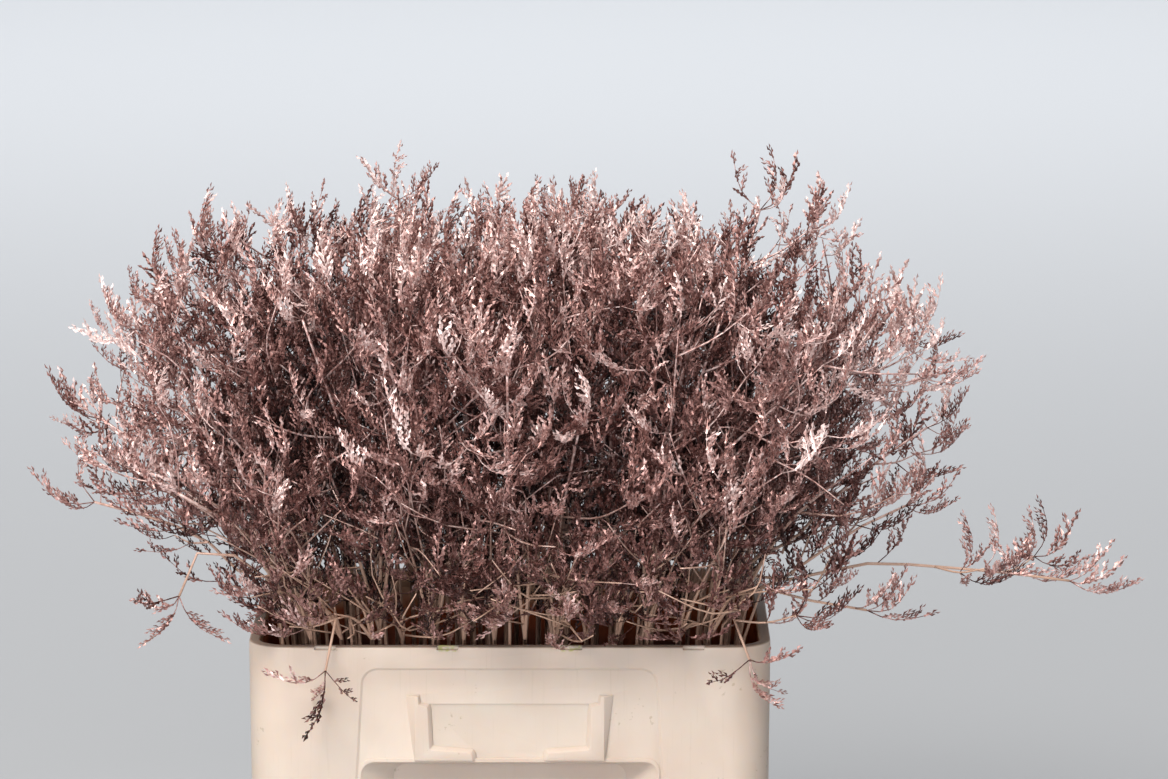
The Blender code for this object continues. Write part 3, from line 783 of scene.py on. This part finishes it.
# Flower branchlets
# Every flower head is an arching branchlet with five to eight short spikes along its upper side. Each
# spike holds two rows of dry, pointed florets, which overlap like the scales of a wheat ear.
SHAPE_SEED = 21
BRANCHLET_KINDS = 24
BRANCHLET_LENGTH = 0.050
BRANCHLET_ARCH = (0.003, 0.007)
BRANCHLET_LIFT = (0.001, 0.006)
BRANCHLET_SWAY = 0.003
BRANCHLET_ROLL = 0.8
AXIS_SHARE = 0.84
AXIS_RADII = (0.00055, 0.00030)
SPIKELET_COUNTS = (5, 8)
SPIKELETS_FROM = 0.32
SPIKELET_TILT = (30, 58)
END_SPIKELET_TILT = (2, 12)
SPIKELET_ROLL = 34
SPIKELET_ROLL_CHANCE = 16
SPIKELET_SHIFT = 0.03
SPIKELET_LENGTHS = (0.0175, 0.011)
SPIKELET_LENGTH_CHANCE = (0.8, 1.15)
SPIKELET_RADIUS = 0.0009
SPIKELET_TURN = 0.25
FLORET_LENGTH = 0.0056
FLORET_WIDTH = 0.0025
FLORET_DEPTH = 0.0012
FLORET_SPACING = 0.0024
FLORETS_FROM = 0.10
FLORETS_TO = 0.84
FLORETS_SHARE = 0.86
LEAST_FLORETS = 4
FLORET_SPREAD = (10, 20)
FLORET_TURN = 0.45
FLORET_SIZE_CHANCE = (0.9, 1.1)
# How much paint a branchlet gets, which also carries painted shade: less deep in the bunch and low near the
# rim, where shade falls, and full on the outermost heads.
PAINT_AND_SHADE_DEPTHS = (0.45, 0.95)
PAINT_AND_SHADE_BY_DEPTH = 0.45
PAINT_BY_CHANCE = 0.55
PAINT_AND_SHADE_AT_RIM = 0.25
PAINT_AND_SHADE_FULL_HEIGHT = 0.17
PAINT_OUTSIDE = (0.95, 1.15)
PAINT_OUTSIDE_SHARE = 0.75
STEM_PAINT = 0.72
STEM_SIDES = 5
BRANCH_SIDES = 4
TWIG_SIDES = 3
BARE_TO = 0.045
PAINTED_FROM = 0.130


def tube(path, radii, sides):
    """A round shoot along a path, closed at both ends: its points and its triangles."""
    path = np.array(path)
    ahead = np.gradient(path, axis=0)
    ahead /= np.linalg.norm(ahead, axis=1)[:, None]
    first = unit(np.cross(ahead[0], ASKEW))
    turns = 2 * np.pi * np.arange(sides) / sides
    rings = []
    for point, heading, radius in zip(path, ahead, radii):
        first = square_to(heading, first)
        second = np.cross(heading, first)
        rings.append(point + radius * (np.cos(turns)[:, None] * first + np.sin(turns)[:, None] * second))
    points = np.concatenate(rings)
    near = np.arange(sides)
    far = (near + 1) % sides
    faces = []
    for ring in range(len(path) - 1):
        low = ring * sides
        high = low + sides
        faces.append(np.stack((low + near, low + far, high + far), axis=1))
        faces.append(np.stack((low + near, high + far, high + near), axis=1))
    fan = np.stack((np.zeros(sides - 2, int), np.arange(1, sides - 1), np.arange(2, sides)), axis=1)
    faces.append(fan[:, ::-1])
    faces.append(fan + (len(path) - 1) * sides)
    return points, np.concatenate(faces)


class Pile:
    """Points and triangles gathered for one mesh."""

    def __init__(self):
        self.points = []
        self.faces = []
        self.smooth = []
        self.paint = []
        self.bare = []
        self.count = 0

    def add(self, points, faces, smooth, paint, bare=0.0):
        """More points and triangles: smooth for each triangle or all, how much paint, which also carries
        painted shade, and how bare of it.
        """
        self.points.append(points)
        self.faces.append(faces + self.count)
        self.smooth.append(np.broadcast_to(smooth, len(faces)))
        self.paint.append(np.full(len(points), paint))
        self.bare.append(np.broadcast_to(bare, len(points)))
        self.count += len(points)

    def arrays(self):
        return np.concatenate(self.points), np.concatenate(self.faces), np.concatenate(self.smooth)


FLORET_FACES = np.array(((0, 2, 1), (3, 1, 2), (0, 1, 3), (0, 3, 2)))
CONE_FACES = np.array(((0, 2, 1), (0, 1, 3), (1, 2, 3), (2, 0, 3)))


def add_stem(pile, path, radii, sides):
    """A round shoot, bare of paint near the rim and below, where the others kept the paint off."""
    points, faces = tube(path, np.linspace(*radii, len(path)), sides)
    bare = np.interp(points[:, 2] - HEIGHT, (BARE_TO, PAINTED_FROM), (1.0, 0.0))
    pile.add(points, faces, True, STEM_PAINT, bare)


def floret(root, heading, outward, size):
    """One pointed floret, folded along its back: root, two shoulders and tip."""
    across = unit(np.cross(heading, outward))
    out = np.cross(across, heading)
    shoulder = root + 0.45 * FLORET_LENGTH * size * heading + FLORET_DEPTH * size * out
    half = 0.5 * FLORET_WIDTH * size * across
    return np.array((root, shoulder + half, shoulder - half, root + FLORET_LENGTH * size * heading))


def branchlet(rng):
    """A branchlet that heads along +Z with its spikes on the +X side: points, triangles and smoothness."""
    pile = Pile()
    arch = rng.uniform(*BRANCHLET_ARCH)
    lift = rng.uniform(*BRANCHLET_LIFT)
    sway = rng.uniform(-BRANCHLET_SWAY, BRANCHLET_SWAY)

    def axis_point(t):
        bend = math.sin(math.pi * t)
        return np.array((-arch * bend + lift * t ** 3, sway * bend, AXIS_SHARE * BRANCHLET_LENGTH * t))

    axis = [axis_point(t) for t in np.linspace(0, 1, 5)]
    pile.add(*tube(axis, np.linspace(*AXIS_RADII, len(axis)), TWIG_SIDES), True, 0)
    count = rng.randint(*SPIKELET_COUNTS)
    for number in range(count):
        last = number == count - 1
        t = SPIKELETS_FROM + (1 - SPIKELETS_FROM) * number / (count - 1)
        t += 0 if last else rng.uniform(-SPIKELET_SHIFT, SPIKELET_SHIFT)
        root = axis_point(t)
        along = unit(axis_point(t + 0.02) - axis_point(t - 0.02))
        tilt = math.radians(rng.uniform(*(END_SPIKELET_TILT if last else SPIKELET_TILT)))
        roll = math.radians((SPIKELET_ROLL if number % 2 else -SPIKELET_ROLL)
                            + rng.uniform(-SPIKELET_ROLL_CHANCE, SPIKELET_ROLL_CHANCE))
        side = square_to(along, unit(np.array((math.cos(roll), math.sin(roll), 0))))
        heading = swung(along, side, tilt)
        length = SPIKELET_LENGTHS[0] + (SPIKELET_LENGTHS[1] - SPIKELET_LENGTHS[0]) * t
        length *= rng.uniform(*SPIKELET_LENGTH_CHANCE)
        flat = unit(np.cross(heading, np.array((0.0, 1.0, 0.0)) + SPIKELET_TURN * random_vector(rng)))
        edge = np.cross(heading, flat)
        ring = [root + SPIKELET_RADIUS * swung(flat, edge, angle) for angle in (0, 2.1, 4.2)]
        pile.add(np.array((*ring, root + length * heading)), CONE_FACES, False, 0)
        florets = max(LEAST_FLORETS, round(FLORETS_SHARE * length / FLORET_SPACING))
        for place in range(florets):
            share = FLORETS_FROM + (FLORETS_TO - FLORETS_FROM) * place / (florets - 1)
            wing = unit((flat if place % 2 else -flat) + FLORET_TURN * rng.uniform(-1, 1) * edge)
            spread = math.radians(rng.uniform(*FLORET_SPREAD))
            size = (0.80 + 0.25 * math.sin(math.pi * min(1, share + 0.15))) * rng.uniform(*FLORET_SIZE_CHANCE)
            lean = swung(heading, wing, spread)
            pile.add(floret(root + share * length * heading, lean, wing, size), FLORET_FACES, False, 0)
    return pile.arrays()


shape_rng = random.Random(SHAPE_SEED)
branchlet_kinds = [branchlet(shape_rng) for _ in range(BRANCHLET_KINDS)]


def place_branchlet(pile, root, tip, rng):
    """Set a branchlet of any kind between two points, its spikes turned more or less upwards."""
    points, faces, smooth = rng.choice(branchlet_kinds)
    roll = rng.uniform(-BRANCHLET_ROLL, BRANCHLET_ROLL)
    # Painted shade along with thinner paint: deep in the bunch and low near the rim a branchlet gets less
    # paint, so it comes out darker.
    depth = crown_depth(tip)
    outer = np.interp(depth, PAINT_AND_SHADE_DEPTHS, (0.0, 1.0))
    paint_and_shade_level = max(np.interp(tip[2] - HEIGHT, (0.0, PAINT_AND_SHADE_FULL_HEIGHT), (PAINT_AND_SHADE_AT_RIM, 1.0)),
                np.interp(depth, PAINT_OUTSIDE, (0.0, PAINT_OUTSIDE_SHARE)))
    heading = unit(tip - root)
    # A little askew, so that it isn't nothing on a branchlet that heads straight up
    upper = UP - (UP @ heading) * heading + 0.02 * np.array((heading[1], -heading[0], 0.3))
    upper = square_to(heading, upper)
    first = swung(upper, np.cross(heading, upper), roll)
    axes = np.stack((first, np.cross(heading, first), heading))
    size = np.linalg.norm(tip - root) / BRANCHLET_LENGTH
    paint = paint_and_shade_level * (PAINT_AND_SHADE_BY_DEPTH * outer + PAINT_BY_CHANCE * rng.random())
    pile.add(root + size * points @ axes, faces, smooth, paint)


def add_piece(name, pile, material):
    """A mesh object from a pile, which rides on the container's body."""
    points, faces, smooth = pile.arrays()
    mesh = bpy.data.meshes.new(name)
    mesh.from_pydata(points.tolist(), [], faces.tolist())
    mesh.polygons.foreach_set("use_smooth", smooth)
    for amount, values in (("paint", pile.paint), ("bare", pile.bare)):
        mesh.attributes.new(amount, "FLOAT", "POINT").data.foreach_set("value", np.concatenate(values))
    mesh.materials.append(material)
    item = new_object(name, mesh)
    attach(item, "root")
    return item


def rose_paint():
    """Statice sprayed with metallic rose paint: silvery where it lies thick, brown where it is thin, and
    darker still with painted shade where the paint amount is lowered deep in the bunch and near the rim.
    """
    material, tree, place = new_material("rose_metallic_paint_with_painted_shade_on_statice")
    amount, bareness = [add_node(tree, "Attribute", {"attribute_name": name}).outputs["Fac"]
                        for name in ("paint", "bare")]
    scales = cloudy(tree, place, 0.0035, 1.0)
    mixed = calculate(tree, "MULTIPLY_ADD", cloudy(tree, place, 0.012, 2.0), 0.60, amount)
    mixed = calculate(tree, "MULTIPLY_ADD", scales, 0.80, mixed)
    # The near-black lowest stop is painted shade between the heads, below the brown of thinly painted
    # statice.
    colour = shaded(tree, mapped(tree, mixed, 0.76, 1.64),
                    (0.0, "#1A0807"), (0.35, "#5C332D"), (0.65, "#B0827A"), (1.0, "#F7DCD6"))
    colour = covered(tree, colour, bareness, "#C6A08A")
    metal = mapped(tree, bareness, 0.0, 1.0, 0.45, 0.0)
    finish_material(tree, {"Roughness": 0.42, "Coat Weight": 0.30, "Coat Roughness": 0.32},
                    {"Base Color": colour, "Metallic": metal}, scales, 0.0004)
    return material


# Sprays of the bunch
# Each takes the place of one solid spray: a stem, its branches and a branchlet for each of the solid's
# spikes, with more branchlets between the joints, as the real stem has.
EXTRA_LENGTH = (0.034, 0.050)
EXTRA_TILT = (38, 66)
EXTRA_SPACING = 0.022
EXTRA_FROM = 0.42
EXTRA_DROOP = 0.15
EXTRA_LIFT = 0.25
EXTRA_REACH = 1.03
LONE_EXTRA_SPACING = 0.030
LONE_EXTRA_LEAST = 0.1
LONE_EXTRA_FROM = 0.72
FINE_STEM_RADII = (0.0020, 0.0010)
FINE_BRANCH_RADII = (0.00095, 0.00055)


def stops_along(path, start, end, spacing, turn):
    """Places at a spacing along a path: the place, where the path heads there, and a turn for each."""
    path = np.array(path)
    along = lengths_along(path)
    for stop in np.arange(start, end, spacing):
        turn += GOLDEN_ANGLE
        step = min(np.searchsorted(along, stop), len(path) - 1) - 1
        yield point_at(path, along, stop), unit(path[step + 1] - path[step]), turn


def extra_seats(path, rng, bounded):
    """Roots and tips of more branchlets along a shoot, on all its sides in turn."""
    length = lengths_along(path)[-1]
    turn = rng.uniform(0, 2 * math.pi)
    spacing = EXTRA_SPACING if bounded else LONE_EXTRA_SPACING
    bare = 0.0 if bounded or length < LONE_EXTRA_LEAST else LONE_EXTRA_FROM * length
    first = bare + spacing * rng.uniform(0.5, 1)
    for root, heading, turn in stops_along(path, first, length, spacing, turn):
        if bounded and crown_depth(root) < EXTRA_FROM:
            continue
        away = side_direction(heading, turn, math.radians(rng.uniform(*EXTRA_TILT)))
        if away[2] < -EXTRA_DROOP:
            continue
        tip = root + rng.uniform(*EXTRA_LENGTH) * unit(away + EXTRA_LIFT * UP)
        if is_clear_of_walls(root, tip) and not (bounded and crown_depth(tip) > EXTRA_REACH):
            yield root, tip


def dress_shoot(pile, shoot, rng, radii, sides):
    """A shoot's own tube, its end, its flower heads, and then each branch that grows on it."""
    has_head = shoot.radii[-2] > shoot.radii[-3]
    joints = shoot.joints[:-2] if has_head else shoot.joints[:-1]
    path = curve(joints, 3 * len(joints))
    add_stem(pile, path, radii, sides)
    if has_head:
        place_branchlet(pile, joints[-1], shoot.joints[-1], rng)
    for children in shoot.children.values():
        for child in children:
            if len(child.joints) == 3:
                place_branchlet(pile, child.joints[0], child.joints[-1], rng)
            else:
                dress_shoot(pile, child, rng, FINE_BRANCH_RADII, BRANCH_SIDES)
    for root, tip in extra_seats(path, rng, shoot.bounded):
        place_branchlet(pile, root, tip, rng)


painted = rose_paint()
for position, stem in enumerate(grow_sprays()):
    pile = Pile()
    dress_shoot(pile, stem, shape_rng, FINE_STEM_RADII, STEM_SIDES)
    spray = add_piece(f"statice_spray_{position + 1:02d}", pile, painted)
    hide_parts(f"spray_{position + 1:02d}")

# Sprays between the others
# The container is packed full, so more sprays of the same kind stand between those above: most all over the
# bunch, some that lean far out to its sides, and short ones that lean over the rim in front and behind.
FILLER_SEED = 5
FILLER_COUNT = 102
FILLERS_TOGETHER = 3
FILLER_SHIFT = 0.87
FILLER_WANDER = 0.55
FILLER_TIP_HEIGHT = (0.10, 0.262)
FILLER_TIP_SHARE = (0.60, 0.96)
FILLER_REACH = 0.97
SIDE_COUNT = 24
SIDE_ALONG = 0.75
SIDE_RIM = (0.166, 0.100)
SIDE_TIP_HEIGHT = (0.015, 0.25)
SIDE_TIP_SHARE = (0.80, 0.94)
SIDE_REACH = 0.97
FRONT_COUNT = 42
BACK_COUNT = 18
LOW_RIM = (0.160, 0.118)
LOW_FAN = (1.6, 0.45)
LOW_TIP_HEIGHT = (0.008, 0.105)
LOW_TIP_Y = (0.135, 0.205)
LOW_REACH = 1.25
LOW_REACH_HEIGHTS = (0.04, 0.10)
FRONT_OPEN = (-0.080, 0.030)
LEAN_LIFT = 0.4
LEAN_CHANCE = 0.12
FORK_SPACING = 0.026
FORK_FROM = 0.30
LOW_FORK_FROM = 0.10
FILLER_BRANCH_LENGTH = (0.050, 0.088)
FILLER_BRANCH_TILT = (36, 72)
FILLER_LIFT = 0.06
FILLER_END_CHANCE = 0.25
FILLER_MIDDLE_CHANCE = 0.1
SEAT_SPACING = 0.016
FILLER_BRANCHLET_LENGTH = (0.034, 0.052)
FILLER_STEM_RADII = (0.0019, 0.0005)
BRANCHLET_BEYOND = 0.03
HOLLOW_SCALE = 1 / 0.050
HOLLOW_BELOW = -0.22
HOLLOW_TOP = 0.20
HOLLOW_FROM = 0.62
HEART = 0.43


def filler_ends(rng):
    """For each spray between the others: its rim point, its tip, where it starts to fork, and its reach."""
    stands = FILLER_COUNT // FILLERS_TOGETHER
    for number in range(FILLER_COUNT):
        rim = bunch_stem(number % stands, stands)[1]
        spread = math.sqrt((number % stands + FILLER_SHIFT) / stands)
        aside = spread * unit(np.array((rim[0] / MOUTH_HALF[0], rim[1] / MOUTH_HALF[1], 0))
                              + FILLER_WANDER * random_vector(rng))
        tip = crown_tip(aside[0], aside[1], rng.uniform(*FILLER_TIP_HEIGHT), rng.uniform(*FILLER_TIP_SHARE))
        yield rim, tip, FORK_FROM, FILLER_REACH
    for number in range(SIDE_COUNT):
        side = 1 if number % 2 else -1
        along = rng.uniform(-SIDE_ALONG, SIDE_ALONG)
        rim = np.array((side * SIDE_RIM[0], round(2 * along) / 2 * SIDE_RIM[1], HEIGHT))
        tip = crown_tip(side * math.sqrt(1 - along * along), along, rng.uniform(*SIDE_TIP_HEIGHT),
                        rng.uniform(*SIDE_TIP_SHARE))
        yield rim, tip, FORK_FROM, SIDE_REACH
    for side, count, limit in ((-1, FRONT_COUNT, LOW_REACH), (1, BACK_COUNT, FILLER_REACH)):
        for number in range(count):
            across = -1 + 2 * (number + rng.uniform(0.2, 0.8)) / count
            stand = -1 + 2 * (number // FILLERS_TOGETHER + 0.5) / (count // FILLERS_TOGETHER)
            rim = np.array((stand * LOW_RIM[0], side * LOW_RIM[1], HEIGHT))
            # Along this stretch of the front no spray hangs low, so that the bare stems show
            is_open = side < 0 and FRONT_OPEN[0] < rim[0] < FRONT_OPEN[1]
            fanned = (LOW_FAN[0] * across - LOW_FAN[1] * stand) * LOW_RIM[0]
            tip = np.array((fanned, side * rng.uniform(*LOW_TIP_Y),
                            HEIGHT + rng.uniform(LOW_TIP_HEIGHT[int(is_open)], LOW_TIP_HEIGHT[1])))
            yield rim, tip, LOW_FORK_FROM, limit


def is_hollow(point):
    """True in the gaps between the outer heads, which stay dark."""
    is_outer = point[2] - HEIGHT < HOLLOW_TOP and crown_depth(point) > HOLLOW_FROM
    return is_outer and noise.noise(Vector(point) * HOLLOW_SCALE) < HOLLOW_BELOW


def is_within(point, limit, beyond=0.0):
    """True above the rim and no further out than the bunch may reach, which is more near the rim."""
    reach = np.interp(point[2] - HEIGHT, LOW_REACH_HEIGHTS, (limit, min(limit, SIDE_REACH)))
    return point[2] > HEIGHT and crown_depth(point) < reach + beyond and abs(point[1]) < CROWN_HALF[1]


def filler_branch(pile, start, heading, limit, rng):
    """A side branch with branchlets all round and one at its end; True where there is room for it."""
    length = rng.uniform(*FILLER_BRANCH_LENGTH)
    end = start + length * unit(heading + FILLER_LIFT * UP + FILLER_END_CHANCE * random_vector(rng))
    middle = start + 0.5 * length * unit(heading + FILLER_MIDDLE_CHANCE * random_vector(rng))
    if not is_within(end, limit) or is_hollow(end) or not is_clear_of_walls(start, end):
        return False
    path = curve([start, middle, end], 6)
    add_stem(pile, path, FINE_BRANCH_RADII, TWIG_SIDES)
    onward = unit(path[-1] - path[-2])
    seats = [(end, end + rng.uniform(*FILLER_BRANCHLET_LENGTH) * onward)]
    turn = rng.uniform(0, 2 * math.pi)
    for stop in np.arange(SEAT_SPACING, length, SEAT_SPACING):
        turn += GOLDEN_ANGLE
        root = path[min(len(path) - 1, round(stop / length * (len(path) - 1)))]
        away = side_direction(unit(end - start), turn, math.radians(rng.uniform(*EXTRA_TILT)))
        seats.append((root, root + rng.uniform(*FILLER_BRANCHLET_LENGTH) * unit(away + FILLER_LIFT * UP)))
    for root, tip in seats:
        in_view = is_within(tip, limit, BRANCHLET_BEYOND) and crown_depth(tip) > HEART
        if in_view and not is_hollow(tip) and is_clear_of_walls(root, tip):
            place_branchlet(pile, root, tip, rng)
    return True


filler_rng = random.Random(FILLER_SEED)
for number, (rim, tip, fork_from, limit) in enumerate(filler_ends(filler_rng)):
    pile = Pile()
    # The stem is upright first and then leans out
    lean = unit(unit(tip - rim) + LEAN_LIFT * UP + LEAN_CHANCE * random_vector(filler_rng))
    above_rim = curve([rim, rim + 0.5 * np.linalg.norm(tip - rim) * lean, tip], 12)
    add_stem(pile, [foot_below(rim)] + above_rim, FILLER_STEM_RADII, STEM_SIDES)
    length = lengths_along(above_rim)[-1]
    turn = filler_rng.uniform(0, 2 * math.pi)
    for start, heading, turn in stops_along(above_rim, fork_from * length, length, FORK_SPACING, turn):
        tilt = math.radians(filler_rng.uniform(*FILLER_BRANCH_TILT))
        filler_branch(pile, start, side_direction(heading, turn, tilt), limit, filler_rng)
    end = above_rim[-1]
    onward = unit(end - above_rim[-2])
    if not filler_branch(pile, end, onward, limit, filler_rng):
        tip = end + filler_rng.uniform(*FILLER_BRANCHLET_LENGTH) * onward
        if is_within(tip, limit, BRANCHLET_BEYOND) and is_clear_of_walls(end, tip):
            place_branchlet(pile, end, tip, filler_rng)
    add_piece(f"filler_spray_{number + 1:02d}", pile, painted)

# Studio
# A pale floor that turns up far behind, wide soft lights, and a long lens.
FLOOR_RADIUS = 16.0
FLOOR_BEND = 4.0
FLOOR_TOP = 9.0
FLOOR_SIDES = 64
CAMERA_AIM = Vector((0.0555, -0.145, 0.5392))
CAMERA_DISTANCE = 4.38
CAMERA_RISE = math.radians(10)
SENSOR_WIDTH = 36
FOCAL_LENGTH = 183.1


def add_light(name, place, aim, size, watts, colour):
    light = bpy.data.lights.new(name, "AREA")
    light.shape = "RECTANGLE"
    light.size, light.size_y = size
    light.energy = watts
    light.color = linear(colour)[:3]
    item = new_object(name, light)
    item.location = place
    item.rotation_euler = (Vector(aim) - Vector(place)).to_track_quat("-Z", "Y").to_euler()


def pale_floor():
    """Matt grey paint, with painted light: darker near the container and paler with the distance, so that the
    view ends in an almost white studio.
    """
    material, tree, place = new_material("studio_floor_with_painted_falloff")
    distance = add_node(tree, "VectorMath", {"operation": "LENGTH"}, {0: place}).outputs["Value"]
    # Painted light falloff: darker near the container, paler far off.
    colour = shaded(tree, mapped(tree, distance, 1.0, 7.5), (0.0, "#A6A7A9"), (1.0, "#E6E9EC"))
    finish_material(tree, {"Roughness": 0.9}, {"Base Color": colour})
    return material


work = bmesh.new()
profile = [(2.0, 0.0), *arc(FLOOR_RADIUS - FLOOR_BEND, FLOOR_BEND, FLOOR_BEND, -90, 0, 6),
           (FLOOR_RADIUS, FLOOR_TOP)]
turns = [2 * math.pi * i / FLOOR_SIDES for i in range(FLOOR_SIDES)]
rings = [[work.verts.new((radius * math.cos(turn), radius * math.sin(turn), z)) for turn in turns]
         for radius, z in profile]
middle = work.verts.new((0, 0, 0))
for i in range(FLOOR_SIDES):
    j = (i + 1) % FLOOR_SIDES
    work.faces.new((middle, rings[0][i], rings[0][j]))
    for low, high in zip(rings, rings[1:]):
        work.faces.new((low[i], high[i], high[j], low[j]))
floor = joined("studio_floor", work)
floor.data.materials.append(pale_floor())

add_light("key", (-1.2, -2.6, 3.1), (0, 0, 0.5), (2.2, 1.6), 186, "#FFFDF8")
add_light("fill", (-0.5, -3.4, 0.9), (0, 0, 0.4), (2.4, 1.6), 54, "#F6F9FF")
add_light("top", (0.2, 0.6, 3.4), (0, 0, 0.5), (3.0, 2.4), 45, "#FFFFFF")
add_light("background", (0, 5.5, 4.5), (0, 6.6, 0), (7.0, 5.0), 256, "#FBFCFF")

world = bpy.data.worlds.new("studio")
world.use_nodes = True
backdrop = world.node_tree.nodes["Background"].inputs
backdrop["Color"].default_value = linear("#F6F7F9")
backdrop["Strength"].default_value = 0.30
bpy.context.scene.world = world
bpy.context.scene.view_settings.view_transform = "Standard"

lens = bpy.data.cameras.new("camera")
lens.sensor_width = SENSOR_WIDTH
lens.lens = FOCAL_LENGTH
camera = new_object("camera", lens)
camera.location = CAMERA_AIM + CAMERA_DISTANCE * Vector((0, -math.cos(CAMERA_RISE), math.sin(CAMERA_RISE)))
camera.rotation_euler = (math.pi / 2 - CAMERA_RISE, 0, 0)
bpy.context.scene.camera = camera
